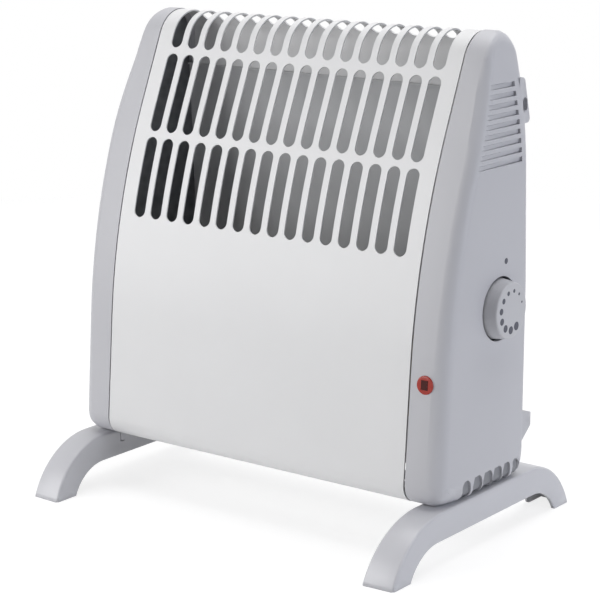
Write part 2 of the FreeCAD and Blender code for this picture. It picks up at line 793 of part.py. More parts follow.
def foot_outline(sketch):
    """Two floor tips, a long top and an arch below, the tips' backs and the arch ends rounded."""
    length = size("foot_half_length")
    top = size("body_bottom")
    inner = size("foot_half_length - foot_tip")
    arch = size("foot_arch_height")
    radius = size("foot_outer_radius")
    arch_radius = size("foot_arch_radius")
    centre = size(FOOT_CENTRE)
    arch_centre = size(f"foot_half_length - foot_tip - {ARCH_SPAN}")
    rise = math.degrees(math.asin((radius - top) / radius))
    arch_rise = math.degrees(math.asin((arch_radius - arch) / arch_radius))
    rear_tip = sketch.addGeometry(segment((inner, 0), (length, 0)))
    rear_back = sketch.addGeometry(arc((centre, top - radius), radius, rise, 90))
    crest = sketch.addGeometry(segment((centre, top), (-centre, top)))
    front_back = sketch.addGeometry(arc((-centre, top - radius), radius, 90, 180 - rise))
    front_tip = sketch.addGeometry(segment((-length, 0), (-inner, 0)))
    front_arch = sketch.addGeometry(arc((-arch_centre, arch - arch_radius), arch_radius, 90, 180 - arch_rise))
    vault = sketch.addGeometry(segment((-arch_centre, arch), (arch_centre, arch)))
    rear_arch = sketch.addGeometry(arc((arch_centre, arch - arch_radius), arch_radius, arch_rise, 90))
    corners = (
        (rear_tip, 2, rear_back, 1),
        (front_back, 2, front_tip, 1),
        (front_tip, 2, front_arch, 2),
        (rear_arch, 1, rear_tip, 1),
    )
    for corner in corners:
        sketch.addConstraint(Sketcher.Constraint("Coincident", *corner))
    blends = (
        (rear_back, 2, crest, 1),
        (crest, 2, front_back, 1),
        (front_arch, 1, vault, 1),
        (vault, 2, rear_arch, 2),
    )
    for blend in blends:
        sketch.addConstraint(Sketcher.Constraint("Tangent", *blend))
    sketch.addConstraint(Sketcher.Constraint("Horizontal", crest))
    sketch.addConstraint(Sketcher.Constraint("Horizontal", vault))
    pin(sketch, rear_tip, 1, "foot_half_length - foot_tip", "0")
    pin(sketch, rear_tip, 2, "foot_half_length", "0")
    pin(sketch, front_tip, 1, "-foot_half_length", "0")
    pin(sketch, front_tip, 2, "foot_tip - foot_half_length", "0")
    for back in (rear_back, front_back):
        dimension(sketch, "foot_outer_radius", "Radius", back)
    for bend in (rear_arch, front_arch):
        dimension(sketch, "foot_arch_radius", "Radius", bend)
    dimension(sketch, "body_bottom", "DistanceY", -1, 1, crest, 1)
    dimension(sketch, "foot_arch_height", "DistanceY", -1, 1, vault, 1)


def foot_hollow(sketch):
    """Inside of the foot, one wall in from its back, open downwards."""
    centre = size(FOOT_CENTRE)
    drop = size("body_bottom - foot_outer_radius")
    radius = size("foot_outer_radius - foot_wall")
    below = -size(BEYOND) / 2
    rise = math.degrees(math.asin((below - drop) / radius))
    rear = sketch.addGeometry(arc((centre, drop), radius, rise, 90))
    roof = sketch.addGeometry(segment((centre, drop + radius), (-centre, drop + radius)))
    front = sketch.addGeometry(arc((-centre, drop), radius, 90, 180 - rise))
    reach = centre + radius * math.cos(math.radians(rise))
    mouth = sketch.addGeometry(segment((-reach, below), (reach, below)))
    sketch.addConstraint(Sketcher.Constraint("Tangent", rear, 2, roof, 1))
    sketch.addConstraint(Sketcher.Constraint("Tangent", roof, 2, front, 1))
    sketch.addConstraint(Sketcher.Constraint("Coincident", front, 2, mouth, 1))
    sketch.addConstraint(Sketcher.Constraint("Coincident", mouth, 2, rear, 1))
    sketch.addConstraint(Sketcher.Constraint("Horizontal", mouth))
    pin(sketch, rear, 3, FOOT_CENTRE, "body_bottom - foot_outer_radius")
    dimension(sketch, f"-{FOOT_CENTRE}", "DistanceX", -1, 1, front, 3)
    dimension(sketch, "foot_outer_radius - foot_wall", "Radius", rear)
    dimension(sketch, "foot_outer_radius - foot_wall", "Radius", front)
    sketch.addConstraint(Sketcher.Constraint("Horizontal", roof))
    dimension(sketch, f"-{BEYOND} / 2", "DistanceY", -1, 1, mouth, 1)


right_foot = foot_form()
left_foot = mirrored("left_foot", right_foot)


# Control knob and thermostat, on one axis along X

def turned(label, profile):
    """Piece of revolution about its own Z, from corners given as radius and height."""
    body = new_body(label)
    section = new_sketch(body, label + "_section", "XZ_Plane")
    polygon(section, profile)
    feature = body.newObject("PartDesign::Revolution", label + "_turned")
    feature.Profile = section
    feature.ReferenceAxis = (section, ["V_Axis"])
    feature.Angle = 360
    doc.recompute()
    return body


def flat_key(sketch, offset):
    """Rectangle beyond the flat of a D-shaped shaft."""
    polygon(sketch, (
        (offset, "-spindle_radius"),
        (f"{offset} + spindle_radius", "-spindle_radius"),
        (f"{offset} + spindle_radius", "spindle_radius"),
        (offset, "spindle_radius"),
    ))


KNOB_LENGTH = "(knob_height + knob_sink)"
HUB_BORE = "(spindle_radius + hub_fit)"
control_knob = turned("control_knob", (
    (HUB_BORE, "0"),
    ("knob_base_radius", "0"),
    ("knob_face_radius", KNOB_LENGTH),
    ("0", KNOB_LENGTH),
    ("0", f"{KNOB_LENGTH} - hub_end_wall"),
    (HUB_BORE, f"{KNOB_LENGTH} - hub_end_wall"),
))
face_level = size(KNOB_LENGTH) - 1e-3
knob_blank = control_knob.Tip
rim_edges = edges_where(
    knob_blank.Shape,
    lambda edge: edge.BoundBox.ZMin > face_level and len(edge.Vertexes) == 1,
)
bevel(control_knob, knob_blank, rim_edges, "knob_rim")
key = new_sketch(control_knob, "hub_key", "XY_Plane")
polygon(key, (
    ("spindle_flat + hub_fit", "-spindle_radius / 1.2"),
    ("spindle_radius * 1.2", "-spindle_radius / 1.2"),
    ("spindle_radius * 1.2", "spindle_radius / 1.2"),
    ("spindle_flat + hub_fit", "spindle_radius / 1.2"),
))
pad(control_knob, key, f"{KNOB_LENGTH} - hub_end_wall")
control_knob.Placement = FreeCAD.Placement(FreeCAD.Vector(), TURN["+X"])
place(control_knob, f"{CAP_FACE} - knob_sink", "knob_y", "knob_z")

SPINDLE_START = f"({PLATE_FACE} + thermostat_depth + bush_length - bore_depth + spindle_end_gap)"
SPINDLE_FREE = f"({CAP_FACE} - knob_sink - {SPINDLE_START})"
SPINDLE_KEYED = f"({KNOB_LENGTH} - hub_end_wall - spindle_end_gap)"
thermostat_spindle = new_body("thermostat_spindle")
spindle_section = new_sketch(thermostat_spindle, "spindle_section", "XY_Plane")
circle(spindle_section, "0", "0", "spindle_radius")
pad(thermostat_spindle, spindle_section, f"{SPINDLE_FREE} + {SPINDLE_KEYED}")
spindle_flat = new_sketch(thermostat_spindle, "spindle_flat", "XY_Plane", f"{SPINDLE_FREE} - spindle_end_gap")
flat_key(spindle_flat, "spindle_flat")
pocket(thermostat_spindle, spindle_flat, f"{SPINDLE_KEYED} + spindle_end_gap", reverse=True)
thermostat_spindle.Placement = FreeCAD.Placement(FreeCAD.Vector(), TURN["+X"])
place(thermostat_spindle, SPINDLE_START, "knob_y", "knob_z")

thermostat_body = new_body("thermostat_body")


def rectangle(sketch, across, up, half_width, half_height):
    polygon(sketch, (
        (f"{across} - ({half_width})", f"{up} - ({half_height})"),
        (f"{across} + ({half_width})", f"{up} - ({half_height})"),
        (f"{across} + ({half_width})", f"{up} + ({half_height})"),
        (f"{across} - ({half_width})", f"{up} + ({half_height})"),
    ))


case = new_sketch(thermostat_body, "thermostat_case", "YZ_Plane", PLATE_FACE)
rectangle(case, "knob_y", "knob_z", "thermostat_width / 2", "thermostat_height / 2")
pad(thermostat_body, case, "thermostat_depth")
bush = new_sketch(thermostat_body, "thermostat_bush", "YZ_Plane", f"{PLATE_FACE} + thermostat_depth")
circle(bush, "knob_y", "knob_z", "bush_radius")
pad(thermostat_body, bush, "bush_length")
BUSH_END = f"{PLATE_FACE} + thermostat_depth + bush_length"
bore = new_sketch(thermostat_body, "spindle_bore", "YZ_Plane", BUSH_END)
circle(bore, "knob_y", "knob_z", "spindle_radius + spindle_fit")
pocket(thermostat_body, bore, "bore_depth")


# Pilot light: red lens pressed into the front band, neon lamp behind its stem

pilot_lens = turned("pilot_lens", (
    ("0", "-lens_length"),
    ("lens_stem_radius", "-lens_length"),
    ("lens_stem_radius", "0"),
    ("lens_flange_radius", "0"),
    ("lens_flange_radius", "lens_flange"),
    ("lens_flange_radius - lens_bevel", "lens_flange + lens_bevel"),
    ("0", "lens_flange + lens_bevel"),
))
face_front(pilot_lens)
pilot_lamp = new_body("pilot_lamp")
glass = new_sketch(pilot_lamp, "lamp_glass", "XY_Plane", "-lens_length - lamp_length")
circle(glass, "0", "0", "lamp_radius")
pad(pilot_lamp, glass, "lamp_length")
face_front(pilot_lamp)


# Mains inlet: snap-in bush for a cord, and the terminal block on the side plate

cord_bush = turned("cord_bush", (
    ("cord_bore_radius", "cord_flange"),
    ("cord_bore_radius", "-cord_stem_length"),
    ("cord_stem_radius", "-cord_stem_length"),
    ("cord_stem_radius", "0"),
    ("cord_flange_radius", "0"),
    ("cord_flange_radius", "cord_flange"),
))
cord_bush.Placement = FreeCAD.Placement(FreeCAD.Vector(), TURN["+Y"])
place(cord_bush, "cord_x", "rear_plane", "cord_z")

terminal_block = new_body("terminal_block")
block = new_sketch(terminal_block, "terminal_plan", "YZ_Plane", PLATE_FACE)
TERMINAL_HALF = "terminal_pitch * terminal_ways / 2"
rectangle(block, "terminal_y", "terminal_z", TERMINAL_HALF, "terminal_height / 2")
pad(terminal_block, block, "terminal_depth")
FIRST_WAY = "terminal_y - terminal_pitch * (terminal_ways - 1) / 2"
well = new_sketch(terminal_block, "terminal_well", "YZ_Plane", f"{PLATE_FACE} + terminal_depth")
rectangle(well, FIRST_WAY, "terminal_z", "terminal_hole / 2", "terminal_hole / 2")
well_cut = pocket(terminal_block, well, "terminal_well_depth")
wire_way = new_sketch(terminal_block, "terminal_wire_way", "XY_Plane", "terminal_z")
wire_x = f"{PLATE_FACE} + terminal_depth / 2"
rectangle(wire_way, wire_x, FIRST_WAY, "terminal_hole / 2", "terminal_hole / 2")
wire_cut = pocket(terminal_block, wire_way, both=True)
repeat(terminal_block, [well_cut, wire_cut], well, "H_Axis", "terminal_pitch", "terminal_ways")


# Thermal cut-out on the chamber side of the right plate

thermal_cutout = new_body("thermal_cutout")
cutout_base = new_sketch(thermal_cutout, "cutout_base", "YZ_Plane", f"{PLATE_BACK} - cutout_flange")
rectangle(cutout_base, "cutout_y", "cutout_z", "cutout_flange_length / 2", "cutout_flange_width / 2")
pad(thermal_cutout, cutout_base, "cutout_flange")
cutout_case = new_sketch(thermal_cutout, "cutout_case", "YZ_Plane", f"{PLATE_BACK} - cutout_flange")
rectangle(cutout_case, "cutout_y", "cutout_z", "cutout_length / 2", "cutout_width / 2")
pad(thermal_cutout, cutout_case, "cutout_height", reverse=True)


# Heating element: notched mica board wound with resistance ribbon, clamped by a bracket at each end

BOARD_FRONT = "(element_y - board_thickness / 2)"
BOARD_REAR = "(element_y + board_thickness / 2)"
FIRST_TURN = "-ribbon_pitch * (ribbon_turns - 1) / 2"
ELEMENT_TOP = "(element_z + element_height)"
element_board = new_body("element_board")
board = new_sketch(element_board, "board_face", "XZ_Plane", f"-{BOARD_REAR}")
rectangle(board, "0", "element_z + element_height / 2", "element_length / 2", "element_height / 2")
pad(element_board, board, "board_thickness")

element_ribbon = new_body("element_ribbon")
half_ribbon = "ribbon_width / 2"
half_wrap = "board_thickness / 2 + ribbon_thickness"
front_run = new_sketch(element_ribbon, "ribbon_front", "XZ_Plane", f"-{BOARD_FRONT}")
polygon(front_run, (
    (f"{FIRST_TURN} - {half_ribbon}", "element_z - ribbon_thickness"),
    (f"{FIRST_TURN} + {half_ribbon}", "element_z - ribbon_thickness"),
    (f"{FIRST_TURN} + {half_ribbon}", f"{ELEMENT_TOP} + ribbon_thickness"),
    (f"{FIRST_TURN} - {half_ribbon}", f"{ELEMENT_TOP} + ribbon_thickness"),
))
turn_parts = [pad(element_ribbon, front_run, "ribbon_thickness")]
over_run = new_sketch(element_ribbon, "ribbon_over", "XY_Plane", ELEMENT_TOP)
rectangle(over_run, FIRST_TURN, "element_y", half_ribbon, half_wrap)
turn_parts.append(pad(element_ribbon, over_run, "ribbon_thickness"))
rear_run = new_sketch(element_ribbon, "ribbon_rear", "XZ_Plane", f"-{BOARD_REAR} - ribbon_thickness")
polygon(rear_run, (
    (f"{FIRST_TURN} + ribbon_pitch - {half_ribbon}", "element_z - ribbon_thickness"),
    (f"{FIRST_TURN} + ribbon_pitch + {half_ribbon}", "element_z - ribbon_thickness"),
    (f"{FIRST_TURN} + {half_ribbon}", f"{ELEMENT_TOP} + ribbon_thickness"),
    (f"{FIRST_TURN} - {half_ribbon}", f"{ELEMENT_TOP} + ribbon_thickness"),
))
turn_parts.append(pad(element_ribbon, rear_run, "ribbon_thickness"))
under_run = new_sketch(element_ribbon, "ribbon_under", "XY_Plane", "element_z - ribbon_thickness")
rectangle(under_run, f"{FIRST_TURN} + ribbon_pitch", "element_y", half_ribbon, half_wrap)
turn_parts.append(pad(element_ribbon, under_run, "ribbon_thickness"))
repeat(element_ribbon, turn_parts, front_run, "H_Axis", "ribbon_pitch", "ribbon_turns - 1")

right_element_bracket = new_body("right_element_bracket")
clip = new_sketch(right_element_bracket, "bracket_plan", "XY_Plane", "bracket_z")
seat_x = f"({PLATE_BACK} - bracket_sheet)"
tip_x = f"({PLATE_BACK} - bracket_sheet - bracket_grip)"
polygon(clip, (
    (PLATE_BACK, "element_y - bracket_half_width"),
    (PLATE_BACK, "element_y + bracket_half_width"),
    (seat_x, "element_y + bracket_half_width"),
    (seat_x, f"{BOARD_REAR} + bracket_sheet"),
    (tip_x, f"{BOARD_REAR} + bracket_sheet"),
    (tip_x, BOARD_REAR),
    (seat_x, BOARD_REAR),
    (seat_x, BOARD_FRONT),
    (tip_x, BOARD_FRONT),
    (tip_x, f"{BOARD_FRONT} - bracket_sheet"),
    (seat_x, f"{BOARD_FRONT} - bracket_sheet"),
    (seat_x, "element_y - bracket_half_width"),
))
pad(right_element_bracket, clip, "bracket_height")
left_element_bracket = mirrored("left_element_bracket", right_element_bracket)


# Finished pieces, one file each

doc.recompute()
PIECES = [
    front_sheet, back_panel, base_grille,
    right_end_cap, left_end_cap, right_side_plate, left_side_plate,
    right_foot, left_foot,
    control_knob, thermostat_spindle, thermostat_body, pilot_lens, pilot_lamp,
    cord_bush, terminal_block, thermal_cutout,
    element_board, element_ribbon, right_element_bracket, left_element_bracket,
]
faulty = [item.Label for item in doc.Objects if "Invalid" in item.State or "Error" in item.State]
if faulty:
    raise ValueError("not computed: " + ", ".join(faulty))
os.makedirs("parts", exist_ok=True)
for piece in PIECES:
    if piece.Shape.isNull() or not piece.Shape.isValid() or not piece.Shape.Solids:
        raise ValueError(piece.Label + " is not a sound solid")
    piece.Shape.exportStep(f"parts/{piece.Label}.step")
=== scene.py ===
import bpy
import bmesh
import math
from mathutils import Matrix, Vector
from mathutils.geometry import delaunay_2d_cdt


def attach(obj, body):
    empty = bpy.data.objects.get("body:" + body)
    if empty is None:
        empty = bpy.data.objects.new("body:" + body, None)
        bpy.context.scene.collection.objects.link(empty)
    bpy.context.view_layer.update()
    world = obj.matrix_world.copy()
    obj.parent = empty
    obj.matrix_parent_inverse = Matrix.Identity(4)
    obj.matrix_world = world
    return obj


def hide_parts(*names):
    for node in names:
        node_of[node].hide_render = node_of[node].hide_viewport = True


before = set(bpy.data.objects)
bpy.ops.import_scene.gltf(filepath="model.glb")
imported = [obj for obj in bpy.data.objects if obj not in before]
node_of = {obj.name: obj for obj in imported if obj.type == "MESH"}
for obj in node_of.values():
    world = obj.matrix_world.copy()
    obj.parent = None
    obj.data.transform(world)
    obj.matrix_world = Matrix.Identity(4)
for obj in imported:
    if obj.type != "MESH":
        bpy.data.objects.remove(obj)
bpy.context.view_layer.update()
scene = bpy.context.scene
scene.view_settings.view_transform = "Standard"


# Front sheet
# One piece of thin sheet steel, punched with three rows of round-ended slots, then bent into the front, the
# crown and the upper rear. It lies almost flush between the caps, with a fine dark seam along each of them.
MM = 0.001
SHEET_THICKNESS = 0.8
SHEET_HALF = 99.4
SHEET_SHIFT = 0.35
CASING_TOP = 262.6
LIP_EDGE_Y = -24.0
LIP_Z = 29.1
WAIST = (-40.8, 96.97)
TOE_RADIUS = 10.4
WAIST_RADIUS = 367.6
CROWN_FRONT_RADIUS = 19.0
CROWN_REAR_RADIUS = 12.4
LEAN_LOW = 4.4
LEAN_HIGH = 23.4
LEAN_REAR = 2.5
LEDGE_Z = 231.2
LEDGE_EDGE_Y = 31.0
LEDGE_RETURN = 4.5
FOLD_RADIUS = 1.0
SLOT_COUNT = 16
SLOT_PITCH = 11.5
SLOT_WIDTH = 7.7
SLOT_END_PARTS = 14
SLOT_ROWS = ((153.5, 196.3), (199.3, 240.4))
TOP_ROW_FRONT = 243.6
TOP_ROW_REAR = 256.5
TOE_PARTS = 16
WAIST_PARTS = 24
CROWN_FRONT_PARTS = 13
CROWN_REAR_PARTS = 15
FOLD_PARTS = 4
FLAT_TOLERANCE = 1e-5
SLOT_EDGE_SHARE = 0.995
SHARP_ANGLE = 35


def linear(code):
    """Linear colour of an sRGB hex code."""
    channels = [int(code[at:at + 2], 16) / 255 for at in (1, 3, 5)]
    return [c / 12.92 if c <= 0.04045 else ((c + 0.055) / 1.055) ** 2.4 for c in channels] + [1.0]


def add(tree, kind, settings, links=()):
    """Adds a shader node with its settings and its incoming links."""
    node = tree.nodes.new(kind)
    for key, value in settings.items():
        if key in node.inputs:
            node.inputs[key].default_value = value
        else:
            setattr(node, key, value)
    for socket, source in links:
        tree.links.new(source, node.inputs[socket])
    return node


def new_material(name, settings):
    """Material with one principled shader, its constant values set on the shader itself."""
    material = bpy.data.materials.new(name)
    material.use_nodes = True
    shader = material.node_tree.nodes["Principled BSDF"]
    for key, value in settings.items():
        shader.inputs[key].default_value = value
    place = add(material.node_tree, "ShaderNodeTexCoord", {}).outputs["Object"]
    return material.node_tree, shader, place


def tint(tree, shader, factor, first, second):
    """Lets the base colour wander between two close shades."""
    shades = {"Color1": linear(first), "Color2": linear(second)}
    mixed = add(tree, "ShaderNodeMixRGB", shades, [("Fac", factor)])
    tree.links.new(mixed.outputs["Color"], shader.inputs["Base Color"])


def relief(tree, shader, height, depth_mm):
    """Surface relief of a given depth from a height between 0 and 1."""
    bump = add(tree, "ShaderNodeBump", {"Strength": 1.0, "Distance": depth_mm * MM}, [("Height", height)])
    tree.links.new(bump.outputs["Normal"], shader.inputs["Normal"])


def per_mm(size_mm):
    """Texture scale at which one feature is this large."""
    return 1 / (size_mm * MM)


# Polyester powder coat baked on steel: white, satin, with a faint orange peel about 1.5 mm across.
coat_tree, coat, coat_place = new_material("white_powder_coat", {"Roughness": 0.38, "IOR": 1.5})
coat_cloud = add(
    coat_tree, "ShaderNodeTexNoise", {"Scale": per_mm(45), "Detail": 2.0}, [("Vector", coat_place)]
)
tint(coat_tree, coat, coat_cloud.outputs["Fac"], "#E3E3E4", "#E8E8E9")
coat_peel = add(
    coat_tree, "ShaderNodeTexNoise", {"Scale": per_mm(1.5), "Detail": 1.0}, [("Vector", coat_place)]
)
relief(coat_tree, coat, coat_peel.outputs["Fac"], 0.012)
powder_coat = bpy.data.materials["white_powder_coat"]


def bend(path, heading, radius, turn, parts):
    """Carries a profile on round a bend in equal parts: clockwise for a positive turn, in degrees."""
    y, z = path[-1]
    side = math.copysign(1, turn)
    centre = (y + side * radius * math.sin(heading), z - side * radius * math.cos(heading))
    for number in range(1, parts + 1):
        angle = heading - math.radians(turn) * number / parts
        y = centre[0] - side * radius * math.sin(angle)
        z = centre[1] + side * radius * math.cos(angle)
        path.append((y, z))
    return heading - math.radians(turn)


def run(path, heading, length):
    """Carries a profile straight on."""
    y, z = path[-1]
    path.append((y + length * math.cos(heading), z + length * math.sin(heading)))


def front_profile():
    """Outer face of the sheet in Y and Z, from the bottom lip over the crown to the ledge's return."""
    low = math.radians(90 - LEAN_LOW)
    high = math.radians(90 - LEAN_HIGH)
    toe_drop = TOE_RADIUS * (1 + math.cos(low))
    down = [WAIST]
    run(down, low + math.pi, (WAIST[1] - LIP_Z - toe_drop) / math.sin(low))
    bend(down, low + math.pi, TOE_RADIUS, -(90 + LEAN_LOW), TOE_PARTS)
    down.append((LIP_EDGE_Y, LIP_Z))
    up = [WAIST]
    heading = bend(up, low, WAIST_RADIUS, LEAN_HIGH - LEAN_LOW, WAIST_PARTS)
    crown_rise = CROWN_FRONT_RADIUS * (1 - math.cos(high))
    run(up, heading, (CASING_TOP - crown_rise - up[-1][1]) / math.sin(high))
    heading = bend(up, heading, CROWN_FRONT_RADIUS, 90 - LEAN_HIGH, CROWN_FRONT_PARTS)
    heading = bend(up, heading, CROWN_REAR_RADIUS, 90 - LEAN_REAR, CROWN_REAR_PARTS)
    run(up, heading, (up[-1][1] - LEDGE_Z - FOLD_RADIUS) / -math.sin(heading))
    heading = bend(up, heading, FOLD_RADIUS, 90 + LEAN_REAR, FOLD_PARTS)
    up.append((LEDGE_EDGE_Y + FOLD_RADIUS, up[-1][1]))
    heading = bend(up, heading, FOLD_RADIUS, 90, FOLD_PARTS)
    run(up, heading, LEDGE_RETURN)
    return down[:0:-1] + up


def lengths_along(path):
    """Distance along a profile at each of its points."""
    total = [0.0]
    for (y0, z0), (y1, z1) in zip(path, path[1:]):
        total.append(total[-1] + math.hypot(y1 - y0, z1 - z0))
    return total


def point_along(path, lengths, distance):
    """Point at a distance along a profile, with the number of its run and how far along the run it is."""
    last = len(path) - 1
    at = next(n for n in range(1, len(path)) if lengths[n] >= distance - FLAT_TOLERANCE or n == last)
    share = (distance - lengths[at - 1]) / (lengths[at] - lengths[at - 1])
    (y0, z0), (y1, z1) = path[at - 1], path[at]
    spot = Vector((y0 + (y1 - y0) * share, z0 + (z1 - z0) * share))
    return spot, at, share


def slot_outline(centre, low, high, width):
    """Closed outline of a round-ended slot."""
    half = width / 2
    corners = []
    for start, middle in ((0, high - half), (math.pi, low + half)):
        for number in range(SLOT_END_PARTS + 1):
            angle = start + math.pi * number / SLOT_END_PARTS
            corners.append((centre + half * math.cos(angle), middle + half * math.sin(angle)))
    return corners


def distance_at(path, lengths, height, rising):
    """Distance along the profile where it passes a height, on its rising or its falling side."""
    for n in range(1, len(path)):
        z0, z1 = path[n - 1][1], path[n][1]
        if (z1 > z0) == rising and min(z0, z1) <= height <= max(z0, z1) and z0 != z1:
            return lengths[n - 1] + (lengths[n] - lengths[n - 1]) * (height - z0) / (z1 - z0)


def mesh_piece(name, vertices, faces, material):
    """New mesh object, smooth shaded where its faces meet at a shallow angle."""
    mesh = bpy.data.meshes.new(name)
    mesh.from_pydata(vertices, [], faces)
    mesh.shade_smooth()
    mesh.set_sharp_from_angle(angle=math.radians(SHARP_ANGLE))
    mesh.materials.append(material)
    piece = bpy.data.objects.new(name, mesh)
    scene.collection.objects.link(piece)
    return piece


def punched_sheet(name, path, thickness, half_width, slots, material):
    """Bent sheet with slots: cut flat in X and length along the profile, then laid on it."""
    lengths = lengths_along(path)
    points = [(-half_width, 0.0), (half_width, 0.0), (half_width, lengths[-1]), (-half_width, lengths[-1])]
    edges = [(0, 1), (1, 2), (2, 3), (3, 0)]
    for distance in lengths[1:-1]:
        edges.append((len(points), len(points) + 1))
        points += [(-half_width, distance), (half_width, distance)]
    for outline in slots:
        first = len(points)
        points += outline
        edges += [(first + n, first + (n + 1) % len(outline)) for n in range(len(outline))]
    flat = delaunay_2d_cdt([Vector(p) for p in points], edges, [], 0, FLAT_TOLERANCE)
    flat_points, flat_faces = flat[0], flat[2]

    def inside_slot(x, s):
        for outline in slots:
            xs = [p[0] for p in outline]
            ss = [p[1] for p in outline]
            half = (max(xs) - min(xs)) / 2
            centre = (max(xs) + min(xs)) / 2
            nearest = min(max(s, min(ss) + half), max(ss) - half)
            if math.hypot(x - centre, s - nearest) < half * SLOT_EDGE_SHARE:
                return True
        return False

    kept = []
    for face in flat_faces:
        x = sum(flat_points[n][0] for n in face) / len(face)
        s = sum(flat_points[n][1] for n in face) / len(face)
        if not inside_slot(x, s):
            kept.append(face)
    normals = []
    for n in range(len(path)):
        before = path[max(n - 1, 0)]
        after = path[min(n + 1, len(path) - 1)]
        along = Vector((after[0] - before[0], after[1] - before[1])).normalized()
        normals.append(Vector((along[1], -along[0])))
    used = sorted({n for face in kept for n in face})
    place = {old: new for new, old in enumerate(used)}
    outer = []
    inner = []
    for n in used:
        x, s = flat_points[n]
        spot, at, share = point_along(path, lengths, s)
        inward = (normals[at - 1].lerp(normals[at], share)).normalized() * thickness
        outer.append((x * MM, spot[0] * MM, spot[1] * MM))
        inner.append((x * MM, (spot[0] + inward[0]) * MM, (spot[1] + inward[1]) * MM))
    count = len(outer)
    top = [[place[n] for n in face] for face in kept]
    below = [[n + count for n in reversed(face)] for face in top]
    sides = {}
    for face in top:
        for a, b in zip(face, face[1:] + face[:1]):
            if (b, a) in sides:
                del sides[(b, a)]
            else:
                sides[(a, b)] = True
    walls = [[b, a, a + count, b + count] for a, b in sides]
    return mesh_piece(name, outer + inner, top + below + walls, material)


front_path = front_profile()
front_lengths = lengths_along(front_path)
row_spans = [
    [distance_at(front_path, front_lengths, height, True) for height in row] for row in SLOT_ROWS
]
row_spans.append([
    distance_at(front_path, front_lengths, TOP_ROW_FRONT, True),
    distance_at(front_path, front_lengths, TOP_ROW_REAR, False),
])
front_slots = []
for low, high in row_spans:
    for column in range(SLOT_COUNT):
        across = (column - (SLOT_COUNT - 1) / 2) * SLOT_PITCH
        front_slots.append(slot_outline(across, low, high, SLOT_WIDTH))
front_skin = punched_sheet(
    "front_skin", front_path, SHEET_THICKNESS, SHEET_HALF, front_slots, powder_coat
)
for corner in front_skin.data.vertices:
    corner.co.x -= SHEET_SHIFT * MM
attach(front_skin, "heater")
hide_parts("front_sheet")


# Back panel and base grille
# The plain rear wall and the slotted plate that lets room air in below, from the same sheet, in flat pale
# grey.

def dress(name, material):
    """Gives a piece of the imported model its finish."""
    node_of[name].data.materials.clear()
    node_of[name].data.materials.append(material)


# Pale grey, darker than the front's white and flatter than its top coat, with the steel's rolling lines just
# showing through.
# They are drawn 12.5 mm apart so that they show. A wave texture runs through 20 radians in each unit.
WAVE_RADIANS = 20
pale_sheet_tree, pale_sheet, pale_sheet_place = new_material("pale_grey_sheet", {"Roughness": 0.55, "IOR": 1.5})
pale_sheet_cloud = add(
    pale_sheet_tree, "ShaderNodeTexNoise", {"Scale": per_mm(30), "Detail": 3.0}, [("Vector", pale_sheet_place)]
)
tint(pale_sheet_tree, pale_sheet, pale_sheet_cloud.outputs["Fac"], "#CACBCD", "#D2D3D5")
roll_lines = {
    "Scale": per_mm(12.5) * math.tau / WAVE_RADIANS,
    "Distortion": 3.0,
    "bands_direction": "X",
}
roll = add(pale_sheet_tree, "ShaderNodeTexWave", roll_lines, [("Vector", pale_sheet_place)])
relief(pale_sheet_tree, pale_sheet, roll.outputs["Fac"], 0.004)
for name in ("back_panel", "base_grille"):
    dress(name, bpy.data.materials["pale_grey_sheet"])


# Side plates and element brackets
# Folded from zinc-coated steel. The plates close the ends of the air chamber and carry what stands behind
# the caps, and the brackets hang on them.

# Hot-dip zinc: dull grey metal with a spangle of flat crystals about 6 mm across.
zinc_tree, zinc, zinc_place = new_material("zinc_coated_steel", {"Metallic": 1.0, "Roughness": 0.42})
spangle = add(zinc_tree, "ShaderNodeTexVoronoi", {"Scale": per_mm(6)}, [("Vector", zinc_place)])
tint(zinc_tree, zinc, spangle.outputs["Distance"], "#7B7D80", "#93969A")
relief(zinc_tree, zinc, spangle.outputs["Distance"], 0.01)
for name in ("right_side_plate", "left_side_plate", "right_element_bracket", "left_element_bracket"):
    dress(name, bpy.data.materials["zinc_coated_steel"])


# Heating element
# A mica card wound with flat resistance ribbon, hung between two brackets low in the air chamber.

# Pressed mica: brownish flakes a few millimetres across, slightly pearly.
mica_tree, mica, mica_place = new_material("pressed_mica", {"Roughness": 0.4})
flakes = add(mica_tree, "ShaderNodeTexVoronoi", {"Scale": per_mm(4)}, [("Vector", mica_place)])
tint(mica_tree, mica, flakes.outputs["Distance"], "#A3936F", "#C2B594")
relief(mica_tree, mica, flakes.outputs["Distance"], 0.03)
dress("element_board", bpy.data.materials["pressed_mica"])

# Resistance alloy after its first heating: dark straw to brown oxide in cloudy bands.
alloy_tree, alloy, alloy_place = new_material(
    "oxidised_resistance_alloy", {"Metallic": 1.0, "Roughness": 0.45}
)
oxide = add(alloy_tree, "ShaderNodeTexNoise", {"Scale": per_mm(8), "Detail": 3.0}, [("Vector", alloy_place)])
tint(alloy_tree, alloy, oxide.outputs["Fac"], "#5A5148", "#7C6F62")
dress("element_ribbon", bpy.data.materials["oxidised_resistance_alloy"])


# End caps
# Injection-moulded ABS ends with a rounded rim, ramped finger grooves, bottom vents, a wall ear and a spacer.
# Each slips over the sheets' ends by its lip. Their edges are shaded round, as the mould leaves them.
CAP_SOFT_ANGLE = 40
CAP_SEAM_X = 100.2
CAP_FACE_X = 120.5
CAP_MIDDLE_Z = 130.0
CAP_BOTTOM_Z = 30.0
CAP_DROP = 0.8
CAP_DROP_FROM_Z = 60.0
CAP_EDGE_RADIUS = 8.5
WELD_GAP = 0.001
SEAM_TOLERANCE = 0.01
FACE_TOLERANCE = 0.1
SHOULDER_Z = 195.0
SHOULDER_RADIUS = 348.0
